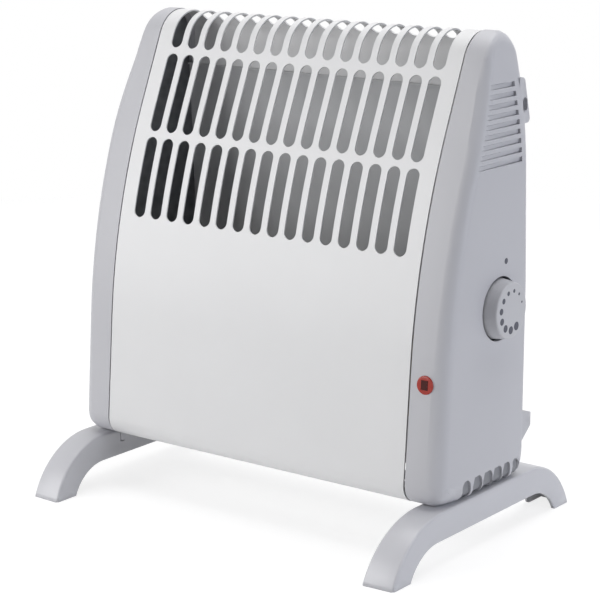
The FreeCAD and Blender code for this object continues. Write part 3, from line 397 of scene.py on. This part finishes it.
# Share of the edge's radius at each height, from the bottom to the crown, and at the rear and the bottom.
EDGE_SHARES = ((30.0, 1.2), (90.0, 1.1), (190.0, 0.97), (238.0, 0.94), (250.0, 0.65), (263.0, 0.5))
EDGE_FRONT_Y = 8.0
EDGE_REAR_Y = 30.0
EDGE_REAR_SHARE = 0.95
EDGE_BOTTOM_SHARE = 0.6
EDGE_BOTTOM_Z = 38.0
EDGE_BOTTOM_Y = (-38.0, -20.0)
EDGE_FACET_SHARE = 1.02
EDGE_FACET_SLACK = 0.03
RIM_TURN = 0.08
TOP_LEAN = 2.8
# Middle and width of each vent along the bottom edge.
VENTS = ((-19.4, 7.8), (-8.4, 7.6), (1.8, 7.4), (11.3, 6.7), (19.9, 5.6), (27.5, 4.4))
VENT_TOP_Z = 39.7
VENT_LOW_Z = 18.0
VENT_INNER_X = 113.3
VENT_REACH = 12.0
GROOVE_COUNT = 9
GROOVE_FIRST_Z = 197.4
GROOVE_PITCH = 4.78
GROOVE_HEIGHT = 2.3
# Where the lowest and the highest groove begin and end, and how deep each is at its two ends.
GROOVE_FRONT_Y = (-16.2, -0.7)
GROOVE_REAR_Y = (27.0, 23.6)
GROOVE_LEAD = (1.7, 0.7)
GROOVE_DEPTH = (0.34, 1.42)
GROOVE_MARGIN = 0.12
GROOVE_LINE = 0.35
GROOVE_LINE_DEPTH = (0.5, 1.9)
GROOVE_END = 0.15
GROOVE_CLEAR = 2.0
GROOVE_BORDER = 3.0
GROOVE_CRISP_ANGLE = 12
# Middle, low end, high end and width of the screw slot in the ear.
EAR_HOLE = (33.3, 221.6, 229.0, 4.4)
EAR_HOLE_X = (114.5, 121.5)
BAFFLE_DEPTH = 1.1
BAFFLE_WALL = 0.8
BAFFLE_TOP_Z = 43.0
BAFFLE_PARTS = 12
BAFFLE_OVERLAP = 0.7

# ABS from a spark-eroded mould: cool grey, satin, with a fine even grain, drawn at 0.6 mm so that it shows.
abs_tree, abs_shader, abs_place = new_material("grey_moulded_abs", {"Roughness": 0.46, "IOR": 1.54})
abs_cloud = add(abs_tree, "ShaderNodeTexNoise", {"Scale": per_mm(60), "Detail": 1.0}, [("Vector", abs_place)])
tint(abs_tree, abs_shader, abs_cloud.outputs["Fac"], "#BDBDC2", "#C2C2C7")
abs_grain = add(
    abs_tree, "ShaderNodeTexNoise", {"Scale": per_mm(0.6), "Detail": 2.0}, [("Vector", abs_place)]
)
relief(abs_tree, abs_shader, abs_grain.outputs["Fac"], 0.012)


def merged_form(node):
    """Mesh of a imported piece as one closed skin."""
    form = bmesh.new()
    form.from_mesh(node_of[node].data)
    bmesh.ops.remove_doubles(form, verts=form.verts, dist=WELD_GAP * MM)
    return form


def face_x(z):
    """Where the side face lies at a height: upright, then leaning in along an arc."""
    rise = max(z - SHOULDER_Z, 0)
    return CAP_FACE_X - SHOULDER_RADIUS + math.sqrt(SHOULDER_RADIUS ** 2 - rise ** 2)


def top_lean(z):
    """How much further the top of the side face leans in."""
    return TOP_LEAN * (max(z - SHOULDER_Z, 0) / (CASING_TOP - SHOULDER_Z)) ** 2


def groove_ends(low):
    """Front and rear of the groove that begins at a height."""
    share = (low - GROOVE_FIRST_Z) / (GROOVE_PITCH * (GROOVE_COUNT - 1))
    front = GROOVE_FRONT_Y[0] + (GROOVE_FRONT_Y[1] - GROOVE_FRONT_Y[0]) * share
    return front, GROOVE_REAR_Y[0] + (GROOVE_REAR_Y[1] - GROOVE_REAR_Y[0]) * share


def between(pairs, at):
    """Value at a place along a list of place and value pairs."""
    for (a, first), (b, second) in zip(pairs, pairs[1:]):
        if at <= b:
            return first + (second - first) * max(at - a, 0) / (b - a)
    return pairs[-1][1]


def share_of(value, start, end):
    """How far a value has come from start to end, held between 0 and 1."""
    return min(max((value - start) / (end - start), 0), 1)


def rim_reshaped(form, side):
    """Widens the round of the rim low in front, tightens it at the crown and along the bottom, and lets the
    bottom down a little."""
    outline = []
    for edge in form.edges:
        if all(abs(side * corner.co.x / MM - CAP_SEAM_X) < SEAM_TOLERANCE for corner in edge.verts):
            middle = (edge.verts[0].co + edge.verts[1].co) / 2
            outward = Vector((0, middle.y, middle.z - CAP_MIDDLE_Z * MM))
            bands = [face.normal for face in edge.link_faces if abs(face.normal.x) < RIM_TURN]
            if any(normal.dot(outward) > 0 for normal in bands):
                outline.append([Vector(corner.co.yz) for corner in edge.verts])
    reach = CAP_EDGE_RADIUS * MM
    for corner in form.verts:
        spot = Vector(corner.co.yz)
        deep = face_x(spot.y / MM) * MM - side * corner.co.x
        if not -FACE_TOLERANCE * MM < deep < reach:
            continue
        nearest = None
        for a, b in outline:
            on_edge = a + (b - a) * share_of((spot - a).dot(b - a), 0, (b - a).length_squared)
            if nearest is None or (spot - on_edge).length < (spot - nearest).length:
                nearest = on_edge
        inset = (spot - nearest).length
        facet_share = math.hypot(reach - inset, reach - deep) / reach
        if inset > reach or abs(facet_share - EDGE_FACET_SHARE) > EDGE_FACET_SLACK:
            continue
        share = between(EDGE_SHARES, nearest.y / MM)
        share += (EDGE_REAR_SHARE - share) * share_of(nearest.x / MM, EDGE_FRONT_Y, EDGE_REAR_Y)
        low = share_of(nearest.y / MM, EDGE_BOTTOM_Z, CAP_BOTTOM_Z)
        behind = share_of(nearest.x / MM, *EDGE_BOTTOM_Y)
        share += (EDGE_BOTTOM_SHARE - share) * low * behind
        moved = nearest + (spot - nearest) * share
        corner.co = (side * (face_x(moved.y / MM) * MM - deep * share), moved.x, moved.y)
    for corner in form.verts:
        corner.co.z -= CAP_DROP * share_of(corner.co.z / MM, CAP_DROP_FROM_Z, CAP_BOTTOM_Z) * MM
        outward = (side * corner.co.x / MM - CAP_SEAM_X) / (CAP_FACE_X - CAP_SEAM_X)
        corner.co.x -= side * top_lean(corner.co.z / MM) * max(outward, 0) * MM
    return form


def prism(tools, base, along):
    """Adds a solid cutter swept from a flat outline."""
    face = tools.faces.new([tools.verts.new(Vector(spot) * MM) for spot in base])
    swept = bmesh.ops.extrude_face_region(tools, geom=[face])["geom"]
    moved = [item for item in swept if isinstance(item, bmesh.types.BMVert)]
    bmesh.ops.translate(tools, verts=moved, vec=Vector(along) * MM)
    bmesh.ops.recalc_face_normals(tools, faces=tools.faces)


def vent_tools(side):
    """Round-topped cutters for the vents along the bottom of one cap, and for the slotted hole of its ear."""
    tools = bmesh.new()
    for middle, width in VENTS:
        outline = slot_outline(middle, VENT_LOW_Z, VENT_TOP_Z, width)
        prism(tools, [(side * VENT_INNER_X, y, z) for y, z in outline], (side * VENT_REACH, 0, 0))
    outline = slot_outline(*EAR_HOLE)
    depth = EAR_HOLE_X[1] - EAR_HOLE_X[0]
    prism(tools, [(side * EAR_HOLE_X[0], y, z) for y, z in outline], (side * depth, 0, 0))
    return tools


def groove_tools(side, lines):
    """Cutters for the ramps of the grooves, or for the fine lines along both edges of each groove."""
    tools = bmesh.new()
    for number in range(GROOVE_COUNT):
        low = GROOVE_FIRST_Z + GROOVE_PITCH * number
        front, rear = groove_ends(low)
        base = low - GROOVE_MARGIN
        top = low + GROOVE_HEIGHT + GROOVE_MARGIN
        depths = GROOVE_LINE_DEPTH if lines else GROOVE_DEPTH
        starts = [front - lead for lead in GROOVE_LEAD]
        ramp = ((starts[0], 0), (starts[1], depths[0]), (rear + GROOVE_END, depths[1]))
        bands = ((base, base + GROOVE_LINE), (top - GROOVE_LINE, top)) if lines else ((base, top),)
        for first, last in bands:
            here = face_x(first) - top_lean(first)
            lean = face_x(last) - top_lean(last) - here
            clear = here + GROOVE_CLEAR
            outline = [(clear, ramp[0][0])]
            outline += [(here - depth, y) for y, depth in ramp]
            outline += [(clear, ramp[-1][0])]
            prism(tools, [(side * x, y, first) for x, y in outline], (side * lean, 0, last - first))
    return tools


def cut_out(form, tools):
    """Form with the tools taken away from it."""
    blanks = []
    for name, source in (("blank", form), ("tools", tools)):
        mesh = bpy.data.meshes.new(name)
        source.to_mesh(mesh)
        source.free()
        blanks.append(bpy.data.objects.new(name, mesh))
        scene.collection.objects.link(blanks[-1])
    cut = blanks[0].modifiers.new("cut", "BOOLEAN")
    cut.object = blanks[1]
    cut.solver = "EXACT"
    result = bmesh.new()
    result.from_object(blanks[0], bpy.context.evaluated_depsgraph_get())
    for blank in blanks:
        bpy.data.objects.remove(blank)
    return result


def at_groove(edge):
    """Whether an edge is one of the shallow ones where a groove begins, which stay crisp."""
    middle = (edge.verts[0].co + edge.verts[1].co) / MM / 2
    front, rear = groove_ends(middle.z)
    along = front - GROOVE_BORDER < middle.y < rear + GROOVE_BORDER
    rim = all(face.normal.y < -RIM_TURN and abs(face.normal.x) > RIM_TURN for face in edge.link_faces)
    high = GROOVE_FIRST_Z - GROOVE_BORDER < middle.z < GROOVE_FIRST_Z + GROOVE_PITCH * GROOVE_COUNT
    return along and high and not rim and edge.calc_face_angle(0) > math.radians(GROOVE_CRISP_ANGLE)


def softened(name, node, form, material, sharp_degrees):
    """New piece in place of a packed one, with its shallow edges shaded as rounds, except at the grooves."""
    mesh = bpy.data.meshes.new(name)
    form.edges.index_update()
    crisp = [edge.index for edge in form.edges if at_groove(edge)]
    form.to_mesh(mesh)
    form.free()
    mesh.shade_smooth()
    mesh.set_sharp_from_angle(angle=math.radians(sharp_degrees))
    for number in crisp:
        mesh.edges[number].use_edge_sharp = True
    mesh.materials.append(material)
    piece = bpy.data.objects.new(name, mesh)
    scene.collection.objects.link(piece)
    even = piece.modifiers.new("flat faces stay flat", "WEIGHTED_NORMAL")
    even.keep_sharp = True
    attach(piece, "heater")
    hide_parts(node)
    return piece


def shade_baffle_strip(name, side, material):
    """Thin wall just behind the vents, which follows the rounded bottom edge of the cap and carries the
    painted shade seen in them.
    """
    radius = CAP_EDGE_RADIUS * EDGE_BOTTOM_SHARE
    reach = radius - BAFFLE_DEPTH
    path = [(CAP_FACE_X - BAFFLE_DEPTH, BAFFLE_TOP_Z, 0)]
    for number in range(BAFFLE_PARTS + 1):
        angle = math.pi / 2 * number / BAFFLE_PARTS
        across = CAP_FACE_X - radius + reach * math.cos(angle)
        path.append((across, CAP_BOTTOM_Z - CAP_DROP + radius - reach * math.sin(angle), angle))
    ends = (VENTS[0][0] - BAFFLE_OVERLAP * VENTS[0][1], VENTS[-1][0] + BAFFLE_OVERLAP * VENTS[-1][1])
    vertices = []
    for x, z, angle in path:
        for y in ends:
            for depth in (0, BAFFLE_WALL):
                spot = Vector((side * (x - depth * math.cos(angle)), y, z + depth * math.sin(angle)))
                vertices.append(spot * MM)
    faces = []
    for n in range(len(path) - 1):
        a = n * 4
        b = a + 4
        faces += [[a, b, b + 2, a + 2], [a + 1, a + 3, b + 3, b + 1]]
        faces += [[a, a + 1, b + 1, b], [a + 2, b + 2, b + 3, a + 3]]
    last = (len(path) - 1) * 4
    faces += [[0, 2, 3, 1], [last, last + 1, last + 3, last + 2]]
    if side < 0:
        faces = [face[::-1] for face in faces]
    return mesh_piece(name, vertices, faces, material)


# The same resin, painted a darker grey as painted shade, on the strip that stands close behind the vents.
vent_shade_tree, vent_shade_shader, vent_shade_place = new_material("vent_painted_shade_abs", {"Roughness": 0.5, "IOR": 1.54})
vent_shade_cloud = add(
    vent_shade_tree, "ShaderNodeTexNoise", {"Scale": per_mm(30), "Detail": 1.0}, [("Vector", vent_shade_place)]
)
tint(vent_shade_tree, vent_shade_shader, vent_shade_cloud.outputs["Fac"], "#7E7F84", "#84858A")
vent_shade_grain = add(
    vent_shade_tree, "ShaderNodeTexNoise", {"Scale": per_mm(0.6), "Detail": 2.0}, [("Vector", vent_shade_place)]
)
relief(vent_shade_tree, vent_shade_shader, vent_shade_grain.outputs["Fac"], 0.012)
for side, sign in (("right", 1), ("left", -1)):
    cap_form = cut_out(rim_reshaped(merged_form(f"{side}_end_cap"), sign), vent_tools(sign))
    cap_form = cut_out(cap_form, groove_tools(sign, lines=False))
    cap_form = cut_out(cap_form, groove_tools(sign, lines=True))
    cap_finish = bpy.data.materials["grey_moulded_abs"]
    cap = softened(f"{side}_cap_moulding", f"{side}_end_cap", cap_form, cap_finish, CAP_SOFT_ANGLE)
    # A darker strip behind each cap's vents, as painted shade in the recess.
    shade_baffle = shade_baffle_strip(f"{side}_vent_shade_baffle", sign, bpy.data.materials["vent_painted_shade_abs"])
    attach(shade_baffle, "heater")


# Feet
# Arched hollow mouldings in a paler, glossier ABS, screwed up into the caps from below.
FOOT_SOFT_ANGLE = 50
FOOT_MIDDLE_X = 112.6
FOOT_TOP_Z = 30.0
FOOT_FLARE = 2.0
FOOT_HALF_WIDTH = 8.35
TOE_SET_BACK = 0.01
# Outline of the slit round the clip, and how far through the inner wall it goes.
CLIP_SLIT = ((-31.7, 21.4), (-28.4, 21.4), (-28.4, 22.0), (-31.1, 22.0), (-31.1, 29.0), (-31.7, 29.0))
CLIP_SLIT_X = (107.5, 100.0)

# ABS from a polished mould: pale grey, with soft highlights along the edges and hardly any grain.
foot_tree, foot_shader, foot_place = new_material("pale_moulded_abs", {"Roughness": 0.32, "IOR": 1.54})
foot_cloud = add(
    foot_tree, "ShaderNodeTexNoise", {"Scale": per_mm(50), "Detail": 1.0}, [("Vector", foot_place)]
)
tint(foot_tree, foot_shader, foot_cloud.outputs["Fac"], "#C6C6CB", "#CBCBD0")
foot_ripple = add(
    foot_tree, "ShaderNodeTexNoise", {"Scale": per_mm(3), "Detail": 1.0}, [("Vector", foot_place)]
)
relief(foot_tree, foot_shader, foot_ripple.outputs["Fac"], 0.008)
for side, sign in (("right", 1), ("left", -1)):
    foot_form = merged_form(f"{side}_foot")
    for corner in foot_form.verts:
        if sign * corner.co.x < FOOT_MIDDLE_X * MM:
            corner.co.x -= sign * FOOT_FLARE * MM * (1 - corner.co.z / (FOOT_TOP_Z * MM))
        across = sign * corner.co.x / MM - FOOT_MIDDLE_X
        corner.co.y *= 1 - TOE_SET_BACK * share_of(across, -FOOT_HALF_WIDTH, FOOT_HALF_WIDTH)
        corner.co.z *= 1 - CAP_DROP / FOOT_TOP_Z
    slit = bmesh.new()
    slit_reach = CLIP_SLIT_X[1] - CLIP_SLIT_X[0]
    prism(slit, [(sign * CLIP_SLIT_X[0], y, z) for y, z in CLIP_SLIT], (sign * slit_reach, 0, 0))
    foot_form = cut_out(foot_form, slit)
    foot_finish = bpy.data.materials["pale_moulded_abs"]
    foot = softened(f"{side}_foot_moulding", f"{side}_foot", foot_form, foot_finish, FOOT_SOFT_ANGLE)


# Thermostat
# A capillary thermostat behind the right cap: black phenolic case with a brass spindle in a plain bush.

# Phenolic: near black, matt, with the faint flow marks of pressed powder.
phenolic_tree, phenolic, phenolic_place = new_material("black_phenolic", {"Roughness": 0.5})
flow = add(
    phenolic_tree, "ShaderNodeTexNoise", {"Scale": per_mm(5), "Detail": 3.0}, [("Vector", phenolic_place)]
)
tint(phenolic_tree, phenolic, flow.outputs["Fac"], "#161616", "#232324")
relief(phenolic_tree, phenolic, flow.outputs["Fac"], 0.02)
for name in ("thermostat_body", "thermal_cutout"):
    dress(name, bpy.data.materials["black_phenolic"])

# Free-cutting brass: yellow metal with rings from the lathe, drawn 2.5 mm apart along X so that they show.
brass_tree, brass, brass_place = new_material("turned_brass", {"Metallic": 1.0, "Roughness": 0.28})
lathe_lines = {"Scale": per_mm(2.5) * math.tau / WAVE_RADIANS, "bands_direction": "X"}
turning = add(brass_tree, "ShaderNodeTexWave", lathe_lines, [("Vector", brass_place)])
tint(brass_tree, brass, turning.outputs["Fac"], "#B08D4C", "#C6A463")
relief(brass_tree, brass, turning.outputs["Fac"], 0.01)
dress("thermostat_spindle", bpy.data.materials["turned_brass"])


# Control knob
# A tapered ABS knob pushed on the spindle, its foot sunk in the cap. Ten printed dots round its face grow
# from cool to warm, and a fixed dot on the cap above it is the mark that they turn past.
KNOB_Y = 9.0
KNOB_Z = 123.9
KNOB_BASE_X = 117.9
KNOB_FACE_X = 127.45
KNOB_BASE_RADIUS = 15.9
KNOB_FACE_RADIUS = 14.55
KNOB_RIM = 1.1
KNOB_SEGMENTS = 96
ROUND_PARTS = 6
KNOB_BORE = 3.05
KNOB_BORE_END_X = 124.8
DOT_RADII = (0.62, 0.8, 1.0, 1.22, 1.48, 1.7, 1.83, 1.95, 2.07, 2.25)
DOT_CIRCLE = 10.1
DOT_FIRST_ANGLE = 16.5
DOT_STEP_ANGLE = 31.3
DOT_HEIGHT = 0.05
DOT_EDGE_HEIGHT = 0.03
DOT_TOP_SHARE = 0.92
DOT_SEGMENTS = 32
MARK_Y = 13.9
MARK_Z = 147.9
MARK_RADIUS = 1.56


def lathe(name, profile, turn_to, segments, material):
    """Piece of revolution from radius and height pairs; a radius of 0 closes it on the axis."""
    vertices = []
    rings = []
    for radius, height in profile:
        if radius == 0:
            rings.append([len(vertices)] * segments)
            vertices.append(turn_to @ Vector((0, 0, height * MM)))
            continue
        rings.append(list(range(len(vertices), len(vertices) + segments)))
        for number in range(segments):
            angle = math.tau * number / segments
            spot = Vector((radius * math.cos(angle) * MM, radius * math.sin(angle) * MM, height * MM))
            vertices.append(turn_to @ spot)
    faces = []
    for lower, upper in zip(rings, rings[1:]):
        for n in range(segments):
            following = (n + 1) % segments
            corners = [lower[n], lower[following], upper[following], upper[n]]
            faces.append(list(dict.fromkeys(corners)))
    return mesh_piece(name, vertices, faces, material)


def rounded(radius, height, size):
    """Profile points of an outer rim round that ends flat on top."""
    points = []
    for number in range(ROUND_PARTS + 1):
        angle = math.pi / 2 * number / ROUND_PARTS
        points.append((radius - size + size * math.cos(angle), height - size + size * math.sin(angle)))
    return points


knob_height = KNOB_FACE_X - KNOB_BASE_X
bore_end = KNOB_BORE_END_X - KNOB_BASE_X
knob_seat = Vector((KNOB_BASE_X, KNOB_Y, KNOB_Z)) * MM
knob_axis = Matrix.Translation(knob_seat) @ Matrix.Rotation(math.pi / 2, 4, "Y")
knob_profile = [(0, bore_end), (KNOB_BORE, bore_end), (KNOB_BORE, 0), (KNOB_BASE_RADIUS, 0)]
knob_profile += rounded(KNOB_FACE_RADIUS, knob_height, KNOB_RIM)
knob_profile += [(DOT_CIRCLE, knob_height), (0, knob_height)]

# ABS as on the caps, a shade lighter on the handled piece and a little smoother.
knob_tree, knob_shader, knob_place = new_material("knob_moulded_abs", {"Roughness": 0.42, "IOR": 1.54})
knob_cloud = add(
    knob_tree, "ShaderNodeTexNoise", {"Scale": per_mm(20), "Detail": 1.0}, [("Vector", knob_place)]
)
tint(knob_tree, knob_shader, knob_cloud.outputs["Fac"], "#BEBEC2", "#C3C3C7")
knob_grain = add(
    knob_tree, "ShaderNodeTexNoise", {"Scale": per_mm(0.6), "Detail": 2.0}, [("Vector", knob_place)]
)
relief(knob_tree, knob_shader, knob_grain.outputs["Fac"], 0.01)
knob_finish = bpy.data.materials["knob_moulded_abs"]
knob = lathe("knob_moulding", knob_profile, knob_axis, KNOB_SEGMENTS, knob_finish)
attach(knob, "knob")
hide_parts("control_knob")

# Pad-printing ink: slate grey, matt, with an edge that thins a little.
ink_tree, ink, ink_place = new_material("slate_printing_ink", {"Roughness": 0.6})
ink_cloud = add(ink_tree, "ShaderNodeTexNoise", {"Scale": per_mm(1), "Detail": 2.0}, [("Vector", ink_place)])
tint(ink_tree, ink, ink_cloud.outputs["Fac"], "#4A4B55", "#565762")


def printed_dot(name, x, y, z, radius, body):
    """Low round pad of ink on a face that looks along +X."""
    seat = Matrix.Translation(Vector((x, y, z)) * MM) @ Matrix.Rotation(math.pi / 2, 4, "Y")
    profile = [(0, 0), (radius, 0), (radius, DOT_EDGE_HEIGHT)]
    profile += [(radius * DOT_TOP_SHARE, DOT_HEIGHT), (0, DOT_HEIGHT)]
    dot = lathe(name, profile, seat, DOT_SEGMENTS, bpy.data.materials["slate_printing_ink"])
    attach(dot, body)


for number, radius in enumerate(DOT_RADII):
    angle = math.radians(DOT_FIRST_ANGLE + DOT_STEP_ANGLE * number)
    dot_y = KNOB_Y + DOT_CIRCLE * math.cos(angle)
    dot_z = KNOB_Z + DOT_CIRCLE * math.sin(angle)
    printed_dot(f"knob_dot_{number + 1}", KNOB_FACE_X, dot_y, dot_z, radius, "knob")
printed_dot("set_mark", CAP_FACE_X, MARK_Y, MARK_Z, MARK_RADIUS, "heater")


# Pilot light
# A red polycarbonate lens snapped into the right cap's front band, with a square window moulded in its face,
# its floor painted dark as painted shade.
# A neon lamp glows behind it when the heater is on.
LENS_X = 109.0
LENS_Z = 93.0
LENS_LEAN = 4.4
BAND_Y = -41.2
BAND_Z = 97.0
LENS_FACE_Y = BAND_Y + (LENS_Z - BAND_Z) * math.tan(math.radians(LENS_LEAN))
LENS_RADIUS = 4.8
LENS_STEM_RADIUS = 4.1
LENS_STEM = 5.0
LENS_HEIGHT = 0.8
LENS_RIM = 0.6
LENS_SEGMENTS = 64
WINDOW_WIDTH = 4.0
WINDOW_HEIGHT = 5.0
# Inset and height of each step of the window, from the lens's face over its low frame to its floor.
WINDOW_STEPS = ((0.0, 0.8), (0.12, 1.05), (0.3, 1.05), (0.42, 0.9))

# Polycarbonate: clear deep red, polished, lit only by what comes in through the face.
lens_tree, lens_shader, lens_place = new_material(
    "red_polycarbonate", {"Roughness": 0.15, "IOR": 1.58, "Specular IOR Level": 0.35}
)
lens_cloud = add(
    lens_tree, "ShaderNodeTexNoise", {"Scale": per_mm(3), "Detail": 1.0}, [("Vector", lens_place)]
)
tint(lens_tree, lens_shader, lens_cloud.outputs["Fac"], "#9C2012", "#AC2D1B")
lens_axis = (
    Matrix.Translation(Vector((LENS_X, LENS_FACE_Y, LENS_Z)) * MM)
    @ Matrix.Rotation(math.radians(90 - LENS_LEAN), 4, "X")
)
lens_profile = [(0, -LENS_STEM), (LENS_STEM_RADIUS, -LENS_STEM), (LENS_STEM_RADIUS, 0), (LENS_RADIUS, 0)]
lens_profile += rounded(LENS_RADIUS, LENS_HEIGHT, LENS_RIM)
lens_profile += [(0, LENS_HEIGHT)]
lens_finish = bpy.data.materials["red_polycarbonate"]
lens = lathe("lens_moulding", lens_profile, lens_axis, LENS_SEGMENTS, lens_finish)
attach(lens, "heater")
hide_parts("pilot_lens")

# The window's floor is the same resin, painted a darker red as painted shade for the dim lamp housing behind
# it.
shaded_window_tree, shaded_window_shader, shaded_window_place = new_material(
    "red_window_painted_shade", {"Roughness": 0.3, "IOR": 1.58, "Specular IOR Level": 0.15}
)
shaded_window_cloud = add(
    shaded_window_tree, "ShaderNodeTexNoise", {"Scale": per_mm(2), "Detail": 2.0}, [("Vector", shaded_window_place)]
)
tint(shaded_window_tree, shaded_window_shader, shaded_window_cloud.outputs["Fac"], "#3E0D09", "#4C140E")
window_corners = []
for inset, height in WINDOW_STEPS:
    for across, up in ((-1, -1), (1, -1), (1, 1), (-1, 1)):
        spot = Vector((across * (WINDOW_WIDTH / 2 - inset), up * (WINDOW_HEIGHT / 2 - inset), height)) * MM
        window_corners.append(lens_axis @ spot)
window_faces = [[3, 2, 1, 0], [12, 13, 14, 15]]
for level in range(len(WINDOW_STEPS) - 1):
    for n in range(4):
        a = level * 4 + n
        b = level * 4 + (n + 1) % 4
        window_faces.append([a, b, b + 4, a + 4])
# The window's dark floor is painted shade for the lamp housing behind the lens.
shade_window = mesh_piece("lens_shade_window", window_corners, window_faces, bpy.data.materials["red_window_painted_shade"])
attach(shade_window, "heater")

# Neon lamp: clear soda glass over a pale orange glow gap.
neon_tree, neon, neon_place = new_material("neon_lamp_glass", {"Roughness": 0.08, "IOR": 1.52})
neon_cloud = add(
    neon_tree, "ShaderNodeTexNoise", {"Scale": per_mm(4), "Detail": 1.0}, [("Vector", neon_place)]
)
tint(neon_tree, neon, neon_cloud.outputs["Fac"], "#D9B48C", "#EBD3B4")
dress("pilot_lamp", bpy.data.materials["neon_lamp_glass"])


# Mains inlet and terminals
# A snap-in bush where the cord would enter at the rear, and a terminal block on the right plate.

# Vulcanised rubber: black, matt, with a dusty bloom.
rubber_tree, rubber, rubber_place = new_material("black_rubber", {"Roughness": 0.65})
bloom = add(
    rubber_tree, "ShaderNodeTexNoise", {"Scale": per_mm(3), "Detail": 3.0}, [("Vector", rubber_place)]
)
tint(rubber_tree, rubber, bloom.outputs["Fac"], "#141414", "#222222")
relief(rubber_tree, rubber, bloom.outputs["Fac"], 0.02)
dress("cord_bush", bpy.data.materials["black_rubber"])

# Nylon: warm ivory with a waxy sheen.
nylon_tree, nylon, nylon_place = new_material("ivory_nylon", {"Roughness": 0.4})
nylon_cloud = add(
    nylon_tree, "ShaderNodeTexNoise", {"Scale": per_mm(6), "Detail": 2.0}, [("Vector", nylon_place)]
)
tint(nylon_tree, nylon, nylon_cloud.outputs["Fac"], "#D3CDBD", "#DED9CC")
dress("terminal_block", bpy.data.materials["ivory_nylon"])


# Floor, light and camera
# A plain pale floor that reads as white, soft boxes to the left and the right of the camera, a soft top
# light, and a long lens at the photograph's angle.
FLOOR_RADIUS = 0.95
FLOOR_SEGMENTS = 96
AIM = (0.0, 0.0, 0.13)
CAMERA_PLACE = (0.6413, -0.8510, 0.3654)
CAMERA_AZIMUTH = 37.0
CAMERA_ELEVATION = 13.325
FOCAL_PIXELS = 2025.8
IMAGE_PIXELS = 600
SENSOR = 36.0

floor_mesh = bpy.data.meshes.new("floor")
floor_corners = []
for number in range(FLOOR_SEGMENTS):
    angle = math.tau * number / FLOOR_SEGMENTS
    floor_corners.append((FLOOR_RADIUS * math.cos(angle), FLOOR_RADIUS * math.sin(angle), 0))
floor_mesh.from_pydata(floor_corners, [], [list(range(FLOOR_SEGMENTS))])
floor = bpy.data.objects.new("floor", floor_mesh)
scene.collection.objects.link(floor)


def seen_directly(tree):
    """1 for rays from the camera, mirrors and glass, 0 for the light that the surface sends on."""
    path = add(tree, "ShaderNodeLightPath", {})
    shown = path.outputs["Is Camera Ray"]
    for name in ("Is Glossy Ray", "Is Transmission Ray"):
        total = add(tree, "ShaderNodeMath", {"operation": "ADD", "use_clamp": True})
        tree.links.new(shown, total.inputs[0])
        tree.links.new(path.outputs[name], total.inputs[1])
        shown = total.outputs["Value"]
    return shown


# Seamless paper: white; to the eye it is mostly even white, with a share of the light that shows shadows.
paper_settings = {"Roughness": 0.9, "Base Color": linear("#F2F2F2")}
paper_tree, paper = new_material("white_paper", paper_settings)[:2]
glow = add(paper_tree, "ShaderNodeEmission", {"Color": (1, 1, 1, 1), "Strength": 0.79})
shade = add(paper_tree, "ShaderNodeBsdfDiffuse", {"Color": linear("#9A9A9A")})
even_white = add(paper_tree, "ShaderNodeAddShader", {})
paper_tree.links.new(glow.outputs["Emission"], even_white.inputs[0])
paper_tree.links.new(shade.outputs["BSDF"], even_white.inputs[1])
paper_mix = add(paper_tree, "ShaderNodeMixShader", {}, [("Fac", seen_directly(paper_tree))])
paper_tree.links.new(paper.outputs["BSDF"], paper_mix.inputs[1])
paper_tree.links.new(even_white.outputs["Shader"], paper_mix.inputs[2])
paper_out = paper_tree.nodes["Material Output"]
paper_tree.links.new(paper_mix.outputs["Shader"], paper_out.inputs["Surface"])
floor_mesh.materials.append(bpy.data.materials["white_paper"])

world = bpy.data.worlds.new("studio")
scene.world = world
world.use_nodes = True
sky_tree = world.node_tree
room = sky_tree.nodes["Background"]
room.inputs["Color"].default_value = linear("#F2F3F5")
room.inputs["Strength"].default_value = 0.04
backdrop = add(sky_tree, "ShaderNodeBackground", {"Color": (1, 1, 1, 1), "Strength": 1.0})
sky_mix = add(sky_tree, "ShaderNodeMixShader", {}, [("Fac", seen_directly(sky_tree))])
sky_tree.links.new(room.outputs["Background"], sky_mix.inputs[1])
sky_tree.links.new(backdrop.outputs["Background"], sky_mix.inputs[2])
sky_tree.links.new(sky_mix.outputs["Shader"], sky_tree.nodes["World Output"].inputs["Surface"])


def softbox(name, place, size, power, colour):
    """Square soft light aimed at the middle of the heater."""
    lamp = bpy.data.lights.new(name, "AREA")
    lamp.shape = "SQUARE"
    lamp.size = size
    lamp.energy = power
    lamp.color = linear(colour)[:3]
    stand = bpy.data.objects.new(name, lamp)
    stand.location = place
    stand.rotation_euler = (Vector(AIM) - Vector(place)).to_track_quat("-Z", "Y").to_euler()
    scene.collection.objects.link(stand)


softbox("left_softbox", place=(-0.9, -1.25, 0.6), size=1.1, power=15.8, colour="#FFFFFF")
softbox("right_softbox", place=(1.45, 0.2, 0.45), size=1.0, power=9.1, colour="#F1F5FF")
softbox("top_softbox", place=(0.0, 0.35, 1.6), size=1.4, power=20.5, colour="#FFFFFF")

camera_data = bpy.data.cameras.new("photo_camera")
camera_data.sensor_width = SENSOR
camera_data.lens = FOCAL_PIXELS * SENSOR / IMAGE_PIXELS
camera = bpy.data.objects.new("photo_camera", camera_data)
camera.location = CAMERA_PLACE
camera.rotation_euler = (math.radians(90 - CAMERA_ELEVATION), 0, math.radians(CAMERA_AZIMUTH))
scene.collection.objects.link(camera)
scene.camera = camera
